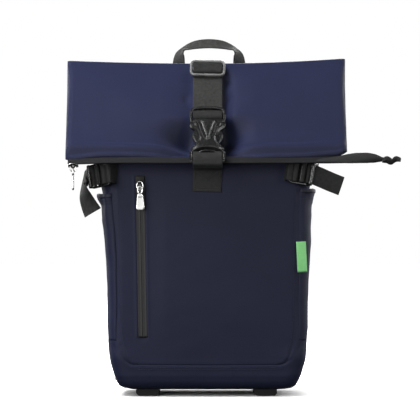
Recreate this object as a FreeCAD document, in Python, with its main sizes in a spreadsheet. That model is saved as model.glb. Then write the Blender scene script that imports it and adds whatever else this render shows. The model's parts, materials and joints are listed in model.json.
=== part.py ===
import FreeCAD, Part
import Sketcher
import math
import os
from FreeCAD import Vector, Placement, Rotation

# ---------------------------------------------------------------------------
# Roll-top commuter backpack.
# Millimetres, +Z up, +Y towards the wearer's back, -Y the bag's front.
# The origin is on the ground, midway between the two foot rails.
# ---------------------------------------------------------------------------

doc = FreeCAD.newDocument("RollTopBackpack")
sheet = doc.addObject("Spreadsheet::Sheet", "dims")

CELLS = [
    # bag body
    ("front_width", 232, "front panel, seam to seam"),
    ("front_face", -62, "Y of the front panel's outer face"),
    ("front_thick", 8, "front panel with its pocket layer"),
    ("back_face", 58, "Y of the back panel's outer face"),
    ("back_thick", 8, "back panel thickness"),
    ("side_face", 130, "half width over the side panels"),
    ("side_thick", 8, "side panel thickness"),
    ("side_corner", 12, "how far back the side panel starts at its front seam"),
    ("base_low", 9, "underside of the base panel"),
    ("base_thick", 9, "base panel thickness"),
    ("boot_front", 41, "height of the boot seam at the front"),
    ("boot_side", 75, "height of the boot seam at the sides"),
    ("shoulder_level", 300, "where the panels end and the collar starts"),
    ("back_top", 372, "top of the back panel"),
    # feet
    ("foot_width", 30, "foot rail width"),
    ("foot_height", 9, "foot rail height"),
    ("foot_length", 96, "foot rail length, front to back"),
    ("foot_offset", 76, "foot rail centre from the middle"),
    # collar
    ("collar_top", 414, "height of the collar's mouth edge"),
    ("collar_thick", 4, "collar cloth, two layers with binding"),
    ("collar_half_low", 131, "collar half width at the shoulder"),
    ("collar_half_high", 174, "collar half width at its top edge"),
    ("collar_front_high", 7.5, "Y of the collar's front at its top"),
    ("collar_back_high", 22, "Y of the collar's back at its top"),
    # roll top
    ("fold_depth", 12, "Y of the fold line"),
    ("fold_level", 428, "Z of the fold line"),
    ("fold_angle", 51.1, "pitch of the hanging roll top from level"),
    ("fold_radius", 6, "radius of the rolled edge"),
    ("flap_width", 364, "roll top width"),
    ("flap_drop", 159, "roll top length below the fold line"),
    ("flap_inner", 3.5, "roll top layer behind the fold line's plane"),
    ("flap_outer", 6.5, "roll top layer in front of it"),
    # mouth zip, along the roll top's lower edge
    ("mouth_tape", 4.6, "tape showing below the roll top"),
    ("mouth_coil", 2.4, "coil height"),
    ("tape_thick", 1.6, "zip tape thickness"),
    ("slider_length", 13, "zip slider length"),
    # closure strap and buckle
    ("web_wide", 38, "closure webbing width"),
    ("web_thick", 1.5, "closure webbing thickness"),
    ("strap_side", 1.5, "closure strap's offset to the right"),
    ("buckle_wide", 46.4, "buckle width over its shoulders"),
    ("buckle_top", 108, "female half's mouth, below the fold line"),
    ("buckle_end", 171, "female half's lower end, below the fold line"),
    ("buckle_low", 7.2, "female half's back face, above the fold plane"),
    ("buckle_high", 17.8, "female half's front face, above the fold plane"),
    ("glide_wide", 46, "tri-glide width"),
    ("glide_tall", 27, "tri-glide height"),
    # 25 mm side webbing
    ("side_web", 25, "side webbing width"),
    ("lock_long", 33, "ladder lock length"),
    ("lock_wide", 31, "ladder lock width"),
    ("lock_thick", 5, "ladder lock thickness"),
    # front pocket zip
    ("pocket_zip_long", 203, "front pocket zip length"),
    ("pocket_zip_wide", 11, "front pocket zip tape width"),
    ("pocket_zip_low", 78, "front pocket zip's lower end"),
    ("pocket_zip_lean", 1.05, "front pocket zip's lean, degrees"),
    # side pockets
    ("pocket_top", 256, "side pocket's top edge"),
    ("pocket_low", 77, "side pocket's lower edge"),
    ("pocket_out", 139, "half width over the side pockets"),
    ("pocket_skin", 2, "side pocket cloth with lining"),
    # carry handle
    ("handle_web", 20, "handle webbing width"),
    ("handle_half", 42, "handle leg centre from its middle"),
    ("handle_top", 469, "top of the handle"),
    # shoulder harness
    ("harness_wide", 64, "shoulder pad width"),
    ("harness_thick", 12, "shoulder pad thickness"),
    ("pad_thick", 11, "back cushion thickness"),
    # inside
    ("liner_skin", 1.2, "lining thickness"),
    ("sleeve_thick", 5, "laptop divider thickness"),
]
for row, (alias, value, note) in enumerate(CELLS, start=1):
    sheet.set("A%d" % row, note)
    sheet.set("B%d" % row, str(value))
    sheet.setAlias("B%d" % row, alias)
doc.recompute()


class Size:
    """A length that carries its value and the sheet expression behind it."""

    def __init__(self, value, text):
        self.value = float(value)
        self.text = text

    @staticmethod
    def of(other):
        if isinstance(other, Size):
            return other
        return Size(other, "(%.6f)" % other)

    def __add__(self, other):
        o = Size.of(other)
        return Size(self.value + o.value, "(%s + %s)" % (self.text, o.text))

    __radd__ = __add__

    def __sub__(self, other):
        o = Size.of(other)
        return Size(self.value - o.value, "(%s - %s)" % (self.text, o.text))

    def __rsub__(self, other):
        o = Size.of(other)
        return Size(o.value - self.value, "(%s - %s)" % (o.text, self.text))

    def __mul__(self, other):
        o = Size.of(other)
        return Size(self.value * o.value, "(%s * %s)" % (self.text, o.text))

    __rmul__ = __mul__

    def __truediv__(self, other):
        o = Size.of(other)
        return Size(self.value / o.value, "(%s / %s)" % (self.text, o.text))

    def __neg__(self):
        return Size(-self.value, "(0 - %s)" % self.text)


def q(alias):
    return Size(sheet.get(alias), "dims." + alias)


def v(alias):
    return float(sheet.get(alias))


def bind(obj, prop, size, unit=""):
    s = Size.of(size)
    obj.setExpression(prop, s.text + unit)


NODES = []


def node(obj, label):
    obj.Label = label
    NODES.append(obj)
    return obj


def fold_frame():
    """The hanging roll top's own frame: x right, y up along it, z outwards."""
    return Placement(Vector(0, v("fold_depth"), v("fold_level")),
                     Rotation(Vector(1, 0, 0), v("fold_angle")))


def box(name, low, high, frame=None):
    """A box between two corners whose sides follow the sheet."""
    b = doc.addObject("Part::Box", name)
    low = [Size.of(c) for c in low]
    high = [Size.of(c) for c in high]
    for prop, lo, hi in zip(("Length", "Width", "Height"), low, high):
        bind(b, prop, hi - lo)
    base = Vector(low[0].value, low[1].value, low[2].value)
    if frame is None:
        b.Placement = Placement(base, Rotation())
        for axis, lo in zip("xyz", low):
            bind(b, "Placement.Base." + axis, lo)
    else:
        b.Placement = frame.multiply(Placement(base, Rotation()))
    return b


def cut(name, base, tools):
    tool = tools[0]
    if len(tools) > 1:
        tool = doc.addObject("Part::MultiFuse", name + "_tools")
        tool.Shapes = tools
    c = doc.addObject("Part::Cut", name)
    c.Base = base
    c.Tool = tool
    return c


def fuse(name, shapes):
    f = doc.addObject("Part::MultiFuse", name)
    f.Shapes = shapes
    f.Refine = True
    return f


def soften(name, base, radius, pick):
    """Part::Fillet on the edges that pick accepts."""
    doc.recompute()
    ids = []
    for i, e in enumerate(base.Shape.Edges, start=1):
        if pick(e):
            ids.append((i, radius, radius))
    f = doc.addObject("Part::Fillet", name)
    f.Base = base
    f.Edges = ids
    return f


def along(axis):
    """Accept straight edges that run along one axis."""
    def pick(e):
        if len(e.Vertexes) != 2:
            return False
        w = e.Vertexes[1].Point - e.Vertexes[0].Point
        return w.Length > 0.5 and abs(w.dot(axis)) / w.Length > 0.999
    return pick


def design(name, plane, points, depth, frame=None, round_by=0.0, holes=()):
    """A PartDesign body: a closed outline on an origin plane, padded."""
    body = doc.addObject("PartDesign::Body", name)
    sk = body.newObject("Sketcher::SketchObject", name + "_outline")
    face = [o for o in body.Origin.OriginFeatures if o.Role == plane][0]
    sk.AttachmentSupport = [(face, "")]
    sk.MapMode = "FlatFace"
    pts = [(Size.of(a), Size.of(b)) for a, b in points]
    count = len(pts)
    for i in range(count):
        a, b = pts[i], pts[(i + 1) % count]
        sk.addGeometry(Part.LineSegment(Vector(a[0].value, a[1].value, 0),
                                        Vector(b[0].value, b[1].value, 0)), False)
    for i in range(count):
        sk.addConstraint(Sketcher.Constraint("Coincident", i, 2, (i + 1) % count, 1))
    for i, (a, b) in enumerate(pts):
        for kind, s in (("DistanceX", a), ("DistanceY", b)):
            k = sk.addConstraint(Sketcher.Constraint(kind, -1, 1, i, 1, s.value))
            sk.setExpression("Constraints[%d]" % k, s.text)
    pad = body.newObject("PartDesign::Pad", name + "_pad")
    pad.Profile = sk
    bind(pad, "Length", depth)
    doc.recompute()
    last = pad
    for n, (hx, hy, hr) in enumerate(holes):
        hs = body.newObject("Sketcher::SketchObject", "%s_hole%d" % (name, n))
        hs.AttachmentSupport = [(face, "")]
        hs.MapMode = "FlatFace"
        hx, hy, hr = Size.of(hx), Size.of(hy), Size.of(hr)
        hs.addGeometry(Part.Circle(Vector(hx.value, hy.value, 0), Vector(0, 0, 1), hr.value), False)
        for kind, s in (("DistanceX", hx), ("DistanceY", hy)):
            k = hs.addConstraint(Sketcher.Constraint(kind, -1, 1, 0, 3, s.value))
            hs.setExpression("Constraints[%d]" % k, s.text)
        k = hs.addConstraint(Sketcher.Constraint("Radius", 0, hr.value))
        hs.setExpression("Constraints[%d]" % k, hr.text)
        pocket = body.newObject("PartDesign::Pocket", "%s_bore%d" % (name, n))
        pocket.Profile = hs
        pocket.Type = "ThroughAll"
        before = last.Shape.Volume
        doc.recompute()
        if pocket.Shape.isNull() or pocket.Shape.Volume > before - 1e-6:
            pocket.Reversed = True
            doc.recompute()
        last = pocket
    if round_by:
        axis = {"XY_Plane": Vector(0, 0, 1), "XZ_Plane": Vector(0, 1, 0), "YZ_Plane": Vector(1, 0, 0)}[plane]
        picked = ["Edge%d" % i for i, e in enumerate(last.Shape.Edges, start=1) if along(axis)(e)]
        fil = body.newObject("PartDesign::Fillet", name + "_round")
        fil.Base = (last, picked)
        fil.Radius = round_by
        doc.recompute()
    if frame is not None:
        body.Placement = frame
    return body


def facet_solid(points, faces):
    """A closed solid from flat facets given by point numbers."""
    made = []
    for f in faces:
        ring = [points[i] for i in f]
        made.append(Part.Face(Part.makePolygon(ring + [ring[0]])))
    shell = Part.makeShell(made)
    shell.sewShape()
    solid = Part.makeSolid(shell)
    if solid.Volume < 0:
        solid.reverse()
    return solid


def six_sided(p):
    """Eight corners, 0-3 on one face and 4-7 on the other, as a solid."""
    quads = [(0, 1, 2, 3), (7, 6, 5, 4), (0, 4, 5, 1), (1, 5, 6, 2), (2, 6, 7, 3), (3, 7, 4, 0)]
    tris = []
    for a, b, c, e in quads:
        n1 = (p[b] - p[a]).cross(p[c] - p[a])
        off = abs((p[e] - p[a]).dot(n1)) / max(n1.Length, 1e-9)
        if off < 1e-6:
            tris.append((a, b, c, e))
        else:
            tris += [(a, b, c), (a, c, e)]
    return facet_solid(p, tris)


def webbing(stations, width, thick):
    """Flat webbing through stations of (centre, width direction, face normal)."""
    pts = []
    for c, w, n in stations:
        w = Vector(w)
        w.normalize()
        n = Vector(n)
        n = n - w * n.dot(w)
        n.normalize()
        c = Vector(c)
        for a, b in ((-1, -1), (1, -1), (1, 1), (-1, 1)):
            pts.append(c + w * (a * width / 2.0) + n * (b * thick / 2.0))
    faces = [(3, 2, 1, 0)]
    for s in range(len(stations) - 1):
        o = 4 * s
        for i in range(4):
            j = (i + 1) % 4
            a, b, c, e = o + i, o + j, o + 4 + j, o + 4 + i
            n1 = (pts[b] - pts[a]).cross(pts[c] - pts[a])
            off = abs((pts[e] - pts[a]).dot(n1)) / max(n1.Length, 1e-9)
            if off < 1e-6:
                faces.append((a, b, c, e))
            else:
                faces += [(a, b, c), (a, c, e)]
    o = 4 * (len(stations) - 1)
    faces.append((o, o + 1, o + 2, o + 3))
    return facet_solid(pts, faces)


def shaped(name, shape, frame=None):
    f = doc.addObject("Part::Feature", name)
    f.Shape = shape
    if frame is not None:
        f.Placement = frame
    return f


FOLD = fold_frame()

# ---------------------------------------------------------------------------
# Base: two rubber foot rails, a base panel, the boot's walls
# ---------------------------------------------------------------------------
half_foot = q("foot_width") / 2
for side, sign in (("left", -1), ("right", 1)):
    mid = q("foot_offset") * sign
    rail = design("foot_" + side, "XZ_Plane",
                  [(mid - half_foot + 3, 0), (mid + half_foot - 3, 0),
                   (mid + half_foot, 4), (mid + half_foot, q("foot_height") - 0.3),
                   (mid - half_foot, q("foot_height") - 0.3), (mid - half_foot, 4)],
                  q("foot_length"), Placement(Vector(0, v("foot_length") / 2, 0), Rotation()), 1.2)
    node(rail, "foot_rail_" + side)

half_front = q("front_width") / 2
base = box("base_block",
           (-half_front - 2, q("front_face") + 3, q("base_low")),
           (half_front + 2, q("back_face") - 1, q("base_low") + q("base_thick")))
base = soften("base_round", base, 12, along(Vector(0, 0, 1)))
node(base, "base_panel")

stiff = box("stiffener", (-q("front_width") / 2 + 6, q("front_face") + 14, q("base_low") + q("base_thick") + 0.3),
            (q("front_width") / 2 - 6, q("back_face") - 14, q("base_low") + q("base_thick") + 2.3))
node(stiff, "base_stiffener")

low = q("base_low") + q("base_thick") + 0.3
boot_front = box("boot_f", (-half_front, q("front_face"), low),
                 (half_front, q("front_face") + q("front_thick"), q("boot_front")))
boot_walls = [boot_front]
for side, sign in (("left", -1), ("right", 1)):
    # plan outline of the boot's side wall, with its cut-off front corner
    outer = q("side_face") * sign
    pts = [(half_front * sign + 0.4 * sign, q("front_face") + 0.5),
           (outer - 2 * sign, q("front_face") + q("side_corner")),
           (outer - 2 * sign, q("back_face") - q("back_thick") - 0.4),
           (outer - q("side_thick") * sign - 2 * sign, q("back_face") - q("back_thick") - 0.4),
           (outer - q("side_thick") * sign - 2 * sign, q("front_face") + q("side_corner") + 3),
           (half_front * sign + 0.4 * sign, q("front_face") + q("front_thick"))]
    wall = design("boot_" + side, "XY_Plane", pts, q("boot_side") - low,
                  Placement(Vector(0, 0, low.value), Rotation()))
    bind(wall, "Placement.Base.z", low)
    boot_walls.append(wall)
    pts = [(half_front * sign + 0.4 * sign, q("front_face") + 0.5),
           (outer, q("front_face") + q("side_corner")),
           (outer, q("back_face") - q("back_thick") - 0.4),
           (outer - q("side_thick") * sign, q("back_face") - q("back_thick") - 0.4),
           (outer - q("side_thick") * sign, q("front_face") + q("side_corner") + 3),
           (half_front * sign + 0.4 * sign, q("front_face") + q("front_thick"))]
    panel = design("side_" + side, "XY_Plane", pts, q("shoulder_level") - q("boot_side") - 0.3,
                   Placement(Vector(0, 0, v("boot_side") + 0.3), Rotation()))
    bind(panel, "Placement.Base.z", q("boot_side") + 0.3)
    node(panel, "side_panel_" + side)

group = doc.addObject("Part::Compound", "boot_group")
group.Links = boot_walls
node(group, "boot_walls")

# ---------------------------------------------------------------------------
# Front panel, its pocket bag, and the back panel with its foam
# ---------------------------------------------------------------------------
front = box("front_block", (-half_front, q("front_face"), q("boot_front") + 0.3),
            (half_front, q("front_face") + q("front_thick"), q("shoulder_level")))
node(front, "front_panel")
bag = box("pocket_bag", (-half_front + 6, q("front_face") + q("front_thick") + 0.3, 60),
          (half_front - 6, q("front_face") + q("front_thick") + 3.3, 284))
node(bag, "front_pocket_bag")

back_pts = [(-half_front - 2, q("base_low") + q("base_thick") + 0.3),
            (half_front + 2, q("base_low") + q("base_thick") + 0.3),
            (q("side_face") - 6, 62), (q("side_face"), q("shoulder_level")),
            (q("side_face") + 25, q("back_top")), (-q("side_face") - 25, q("back_top")),
            (-q("side_face"), q("shoulder_level")), (-q("side_face") + 6, 62)]
back = design("back_plate", "XZ_Plane", back_pts, q("back_thick"),
              Placement(Vector(0, v("back_face"), 0), Rotation()))
bind(back, "Placement.Base.y", q("back_face"))
node(back, "back_panel")
foam = box("foam_sheet", (-half_front + 6, q("back_face") - q("back_thick") - 3.4, 24),
           (half_front - 6, q("back_face") - q("back_thick") - 0.4, 350))
node(foam, "back_foam_sheet")

# cushions on the wearer's side, split by an air channel
cushions = []
for side, sign in (("left", -1), ("right", 1)):
    inner = 13 * sign
    edge = 108 * sign
    pts = [(inner, 52), (edge - 34 * sign, 52), (edge, 104), (edge, 300), (edge - 20 * sign, 336), (inner, 336)]
    cushion = design("cushion_" + side, "XZ_Plane", pts, q("pad_thick"),
                     Placement(Vector(0, v("back_face") + v("pad_thick") + 0.3, 0), Rotation()), 9.0)
    cushions.append(cushion)
group = doc.addObject("Part::Compound", "cushion_group")
group.Links = cushions
node(group, "back_cushions")

# ---------------------------------------------------------------------------
# Lining, laptop divider
# ---------------------------------------------------------------------------
lx = half_front + 2
ly0 = q("front_face") + q("front_thick") + 3.8
ly1 = q("back_face") - q("back_thick") - 3.8
lz0 = q("base_low") + q("base_thick") + 2.8
skin = q("liner_skin")
outer_box = box("liner_out", (-lx, ly0, lz0), (lx, ly1, 296))
inner_box = box("liner_in", (-lx + skin, ly0 + skin, lz0 + skin), (lx - skin, ly1 - skin, 320))
node(cut("liner_cut", outer_box, [inner_box]), "lining")
divider = box("divider", (-lx + skin + 4, ly1 - skin - 9 - q("sleeve_thick"), lz0 + skin + 2),
              (lx - skin - 4, ly1 - skin - 9, 268))
node(divider, "laptop_divider")

# ---------------------------------------------------------------------------
# Collar: front, back and the two gussets that close the mouth
# ---------------------------------------------------------------------------
s0, s1 = v("shoulder_level") + 0.4, v("collar_top")
h0, h1 = v("collar_half_low"), v("collar_half_high")
thick = v("collar_thick")
f0, f1 = v("front_face") + 2, v("collar_front_high")
b1 = v("collar_back_high")
tb = v("back_top") + 0.4
slope_x = (h1 - h0) / (s1 - s0)
ht = h0 + slope_x * (tb - s0)
collar_front = six_sided([
    Vector(-h0, f0, s0), Vector(h0, f0, s0), Vector(h0, f0 + thick, s0), Vector(-h0, f0 + thick, s0),
    Vector(-h1, f1, s1), Vector(h1, f1, s1), Vector(h1, f1 + thick, s1), Vector(-h1, f1 + thick, s1)])
node(shaped("collar_f", collar_front), "collar_front")
yb = v("back_face")
collar_back = six_sided([
    Vector(-ht, yb - thick, tb), Vector(ht, yb - thick, tb), Vector(ht, yb, tb), Vector(-ht, yb, tb),
    Vector(-h1, b1 - thick, s1), Vector(h1, b1 - thick, s1), Vector(h1, b1, s1), Vector(-h1, b1, s1)])
node(shaped("collar_b", collar_back), "collar_back")


def gusset(sign):
    """A flat side of the collar, leaning out towards its top."""
    def out(z, off):
        return sign * (h0 + slope_x * (z - s0) - off)
    slope_f = (f1 - f0) / (s1 - s0)
    slope_b = (b1 - yb) / (s1 - tb)
    gap = 0.4

    def yf(z):
        return f0 + slope_f * (z - s0) + thick + gap
    zt = s1 - 6
    ring = [(yf(s0), s0), (yb - v("back_thick") - gap, s0), (yb - v("back_thick") - gap, tb),
            (yb + slope_b * (zt - tb) - thick - gap, zt), (yf(zt), zt)]
    pts = [Vector(out(z, 0), y, z) for y, z in ring] + [Vector(out(z, 3), y, z) for y, z in ring]
    n = len(ring)
    faces = [tuple(range(n)), tuple(range(2 * n - 1, n - 1, -1))]
    for i in range(n):
        j = (i + 1) % n
        a, b, c, e = i, j, n + j, n + i
        n1 = (pts[b] - pts[a]).cross(pts[c] - pts[a])
        off = abs((pts[e] - pts[a]).dot(n1)) / max(n1.Length, 1e-9)
        faces += [(a, b, c, e)] if off < 1e-6 else [(a, b, c), (a, c, e)]
    return facet_solid(pts, faces)


node(shaped("gusset_l", gusset(-1)), "collar_gusset_left")
node(shaped("gusset_r", gusset(1)), "collar_gusset_right")

# ---------------------------------------------------------------------------
# Roll top: a slab that hangs from its rolled edge
# ---------------------------------------------------------------------------
half_flap = q("flap_width") / 2
slab = box("flap_slab", (-half_flap, -q("flap_drop"), -q("flap_inner")), (half_flap, 0, q("flap_outer")), FOLD)
crest = doc.addObject("Part::Cylinder", "flap_roll")
bind(crest, "Radius", q("fold_radius"))
bind(crest, "Height", q("flap_width"))
crest.Placement = Placement(Vector(-v("flap_width") / 2, v("fold_depth"), v("fold_level")),
                            Rotation(Vector(0, 1, 0), 90))
node(fuse("flap_joined", [slab, crest]), "roll_top_flap")

# mouth zip: tape, coil, slider, pull, free end and end tab
edge0 = -q("flap_drop") - 0.2
edge1 = edge0 - q("mouth_tape")
edge2 = edge1 - q("mouth_coil")
tape = box("mouth_tape_strip", (-half_flap + 6, edge1, -q("tape_thick") / 2),
           (half_flap - 1, edge0, q("tape_thick") / 2), FOLD)
coil = box("mouth_coil_strip", (-half_flap + 8, edge2, -1.4), (half_flap - 1, edge1, 1.4), FOLD)
node(fuse("mouth_chain", [tape, coil]), "mouth_zip_chain")

SLIDE_X = -169.0
half_sl = q("slider_length") / 2
sl_out = box("msl_out", (SLIDE_X - half_sl, edge2 - 2.8, -4.6), (SLIDE_X + half_sl, edge1 + 1.6, 4.6), FOLD)
sl_in = box("msl_in", (SLIDE_X - half_sl - 1, edge2 - 0.6, -2.0), (SLIDE_X + half_sl + 1, edge1 + 3, 2.0), FOLD)
msl = cut("msl_cut", sl_out, [sl_in])
mid = FOLD.multVec(Vector(SLIDE_X, (edge2 - 2.8).value, 0))
PIN = Vector(SLIDE_X, mid.y - 0.5, mid.z - 4.9)
bail_out = box("bail_out", (SLIDE_X - 3.4, PIN.y - 1.2, PIN.z - 3.4), (SLIDE_X + 3.4, PIN.y + 1.2, PIN.z + 7.3))
bail_in = box("bail_in", (SLIDE_X - 2.0, PIN.y - 2, PIN.z - 2.0), (SLIDE_X + 2.0, PIN.y + 2, PIN.z + 2.4))
bail = cut("bail_cut", bail_out, [bail_in])
sl_keep = box("msl_in2", (SLIDE_X - half_sl - 1, edge2 - 0.6, -2.0), (SLIDE_X + half_sl + 1, edge1 + 3, 2.0), FOLD)
msl_all = fuse("msl_all", [msl, bail])
msl_fin = cut("msl_final", msl_all, [sl_keep])
node(msl_fin, "mouth_zip_slider")

# the pull hangs edge-on, its flat faces to the sides
pull_pts = [(-4.2, 0.9), (-4.4, -8), (-4.6, -23), (-3.2, -26), (3.2, -26), (4.6, -23), (4.4, -8), (4.2, 0.9)]
pull = design("mouth_pull", "YZ_Plane", pull_pts, 2.2, Placement(Vector(SLIDE_X - 1.1, PIN.y, PIN.z), Rotation()))
eye = box("mouth_eye", (SLIDE_X - 3, PIN.y - 2.4, PIN.z - 6.0), (SLIDE_X + 3, PIN.y + 2.4, PIN.z - 0.9))
node(cut("mouth_pull_cut", pull, [eye]), "mouth_zip_pull")

# free end of the zip, past the roll top's right edge
hf = v("flap_width") / 2
tail_pts = [((hf + 0.5, -87.5, 304.5), (0, 0.35, 1), (0, -1, 0.3)),
            ((hf + 14, -88.5, 305.2), (0, 0.2, 1), (0, -1, 0.1)),
            ((hf + 30, -89.5, 305.8), (0, -0.1, 1), (0, -1, 0)),
            ((hf + 41, -89.5, 305.2), (0, -0.3, 1), (0, -1, -0.2))]
node(shaped("zip_tail", webbing(tail_pts, 14, v("tape_thick") + 0.4)), "mouth_zip_free_end")
tab_pts = [((hf + 41.5, -89.5, 305.0), (0, -0.3, 1), (0, -1, -0.2)),
           ((hf + 52, -88.6, 304.6), (0, 0.4, 1), (0, -1, 0.3)),
           ((hf + 62, -88.0, 305.6), (0, 0.1, 1), (0, -1, 0))]
node(shaped("zip_tab", webbing(tab_pts, 9.5, 4.2)), "mouth_zip_end_tab")

# ---------------------------------------------------------------------------
# Closure strap: webbing, tri-glide, and the side-release buckle
# ---------------------------------------------------------------------------
cx = q("strap_side")
hw = q("web_wide") / 2
wt = q("web_thick")
lay = q("flap_outer") + 1.5
run = box("strap_run", (cx - hw, -90.4, lay), (cx + hw, -44, lay + wt), FOLD)
loop_o = box("strap_loop_o", (cx - hw, -101, lay), (cx + hw, -89.8, lay + 8), FOLD)
loop_i = box("strap_loop_i", (cx - hw - 1, -99.8, lay + wt), (cx + hw + 1, -91, lay + 6.8), FOLD)
node(fuse("strap_all", [run, cut("strap_loop", loop_o, [loop_i])]), "closure_strap")

# upper stretch of the strap, sewn over the rolled edge and lying on the roll top
r1 = v("fold_radius") + 0.65
ut = 1.2
arc = []
for a in (100, 115, 130, 141.1):
    t = math.radians(a)
    y = v("fold_depth") + (r1 + ut / 2) * math.cos(t)
    z = v("fold_level") + (r1 + ut / 2) * math.sin(t)
    arc.append(((cx.value, y, z), (1, 0, 0), (0, math.cos(t), math.sin(t))))
low_u = FOLD.multVec(Vector(cx.value, -42, r1 + ut / 2))
arc.append(((cx.value, low_u.y, low_u.z), (1, 0, 0), (0, math.cos(math.radians(141.1)), math.sin(math.radians(141.1)))))
node(shaped("strap_upper", webbing(arc, v("web_wide"), ut)), "closure_strap_upper")

# male half: a ladder-like frame
bw = q("buckle_wide") / 2 - 1.2
b_lo, b_hi = lay + 1.9, lay + 6.4
frame_out = box("male_out", (cx - bw, -q("buckle_top") + 0.1, b_lo), (cx + bw, -83.5, b_hi), FOLD)
slot_a = box("male_slot_a", (cx - hw - 0.5, -91.6, b_lo - 1), (cx + hw + 0.5, -88, b_hi + 1), FOLD)
slot_b = box("male_slot_b", (cx - hw - 0.5, -103, b_lo - 1), (cx + hw + 0.5, -99.2, b_hi + 1), FOLD)
male = cut("male_cut", frame_out, [slot_a, slot_b])
# the bar under the webbing is thinner than the frame
shave = box("male_shave", (cx - hw - 0.5, -99.3, b_lo + 3.6), (cx + hw + 0.5, -91.5, b_hi + 1), FOLD)
male = cut("male_cut2", male, [shave])
tongue = box("male_tongue", (cx - 3.2, -140, b_lo), (cx + 3.2, -q("buckle_top") + 0.2, b_hi - 0.6), FOLD)
node(fuse("male_all", [male, tongue]), "buckle_male_frame")

# sprung prongs
for side, sign in (("left", -1), ("right", 1)):
    pts = [(7.5 * sign, -0.6), (12.0 * sign, -0.6), (12.6 * sign, -13), (19.6 * sign, -17.5),
           (20.0 * sign, -27), (13.5 * sign, -37.5), (10.2 * sign, -37.5), (9.2 * sign, -13)]
    prong = design("prong_" + side, "XY_Plane", pts, b_hi - b_lo - 0.4,
                   FOLD.multiply(Placement(Vector(cx.value, -v("buckle_top"), b_lo.value), Rotation())), 0.8)
    node(prong, "buckle_prong_" + side)

# female half: waisted shell, open at the top and at its two windows
top, end = -q("buckle_top"), -q("buckle_end")
hb = q("buckle_wide") / 2
outline = [(-hb + 1.2, top), (hb - 1.2, top), (hb, top - 4), (hb, top - 9), (hb - 8.8, top - 19), (hb - 9.6, top - 27),
           (hb - 8.8, top - 35), (hb - 0.6, top - 46), (hb, top - 53), (hb - 0.4, end + 3), (hb - 2.4, end),
           (-hb + 2.4, end), (-hb + 0.4, end + 3), (-hb, top - 53), (-hb + 0.6, top - 46), (-hb + 8.8, top - 35),
           (-hb + 9.6, top - 27), (-hb + 8.8, top - 19), (-hb, top - 9), (-hb, top - 4)]
shell = design("female_shell", "XY_Plane", outline, q("buckle_high") - q("buckle_low"),
               FOLD.multiply(Placement(Vector(cx.value, 0, v("buckle_low")), Rotation())))
cav = box("female_cavity", (cx - hb + 1.7, top - 39.4, b_lo - 0.3), (cx + hb - 1.7, top + 1, b_hi + 0.3), FOLD)
slot = box("female_slot", (cx - hw - 0.6, end + 11.4, q("buckle_low") - 1), (cx + hw + 0.6, end + 15.2, q("buckle_high") + 1), FOLD)
thin_f = box("female_thin_f", (cx - hw - 0.6, end - 1, lay + 6.0), (cx + hw + 0.6, end + 11.5, q("buckle_high") + 1), FOLD)
thin_b = box("female_thin_b", (cx - hw - 0.6, end - 1, q("buckle_low") - 1), (cx + hw + 0.6, end + 11.5, lay + 2.0), FOLD)
node(cut("female_cut", shell, [cav, slot, thin_f, thin_b]), "buckle_female")

# anchor tab: loops the female half's lower bar, then lies sewn on the front panel
ring_o = box("tab_ring_o", (cx - hw, end - 1.7, lay + 0.3), (cx + hw, end + 13.2, lay + 7.7), FOLD)
ring_i = box("tab_ring_i", (cx - hw - 1, end - 0.5, lay + 1.5), (cx + hw + 1, end + 11.9, lay + 6.5), FOLD)
ring = cut("tab_ring", ring_o, [ring_i])
low_end = FOLD.multVec(Vector(cx.value, (end - 1.2).value, (lay + 3.5).value))
yf = v("front_face") - 0.2
tab_run = [((cx.value, yf - 0.8, 264), (1, 0, 0), (0, -1, 0)),
           ((cx.value, yf - 0.8, 290), (1, 0, 0), (0, -1, 0.1)),
           ((cx.value, yf - 3.6, 294.4), (1, 0, 0), (0, -0.6, -0.8)),
           ((cx.value, -95, 294.4), (1, 0, 0), (0, 0.1, -1)),
           ((cx.value, low_end.y + 1.5, low_end.z - 4.2), (1, 0, 0), (0, -0.6, -0.8)),
           ((cx.value, low_end.y, low_end.z), (1, 0, 0), (0, -0.9, -0.3))]
tab_web = shaped("tab_run", webbing(tab_run, v("web_wide"), v("web_thick")))
node(fuse("tab_all", [ring, tab_web]), "anchor_tab")

# tri-glide with the webbing's return wrapped over its middle bar
g_lo = lay + wt + 0.4
gw = q("glide_wide") / 2
g0, g1 = q("glide_tall") * -1 + 1, Size.of(1.0)
glide_out = box("glide_out", (cx - gw, g0, g_lo), (cx + gw, g1, g_lo + 3.4), FOLD)
glide_out = soften("glide_round", glide_out, 2.5, along(FOLD.Rotation.multVec(Vector(0, 0, 1))))
ga = box("glide_a", (cx - hw - 0.5, g1 - 11.3, g_lo - 1), (cx + hw + 0.5, g1 - 3.1, g_lo + 5), FOLD)
gb = box("glide_b", (cx - hw - 0.5, g0 + 3.1, g_lo - 1), (cx + hw + 0.5, g0 + 11.3, g_lo + 5), FOLD)
node(cut("glide_cut", glide_out, [ga, gb]), "tri_glide")
wrap_o = box("wrap_o", (cx - hw, g1 - 18.6, g_lo + 0.2), (cx + hw, g1 - 8.4, g_lo + 5.4), FOLD)
wrap_i = box("wrap_i", (cx - hw - 1, g1 - 17.4, g_lo - 1), (cx + hw + 1, g1 - 9.6, g_lo + 4.0), FOLD)
node(cut("wrap_cut", wrap_o, [wrap_i]), "tri_glide_webbing")

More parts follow.
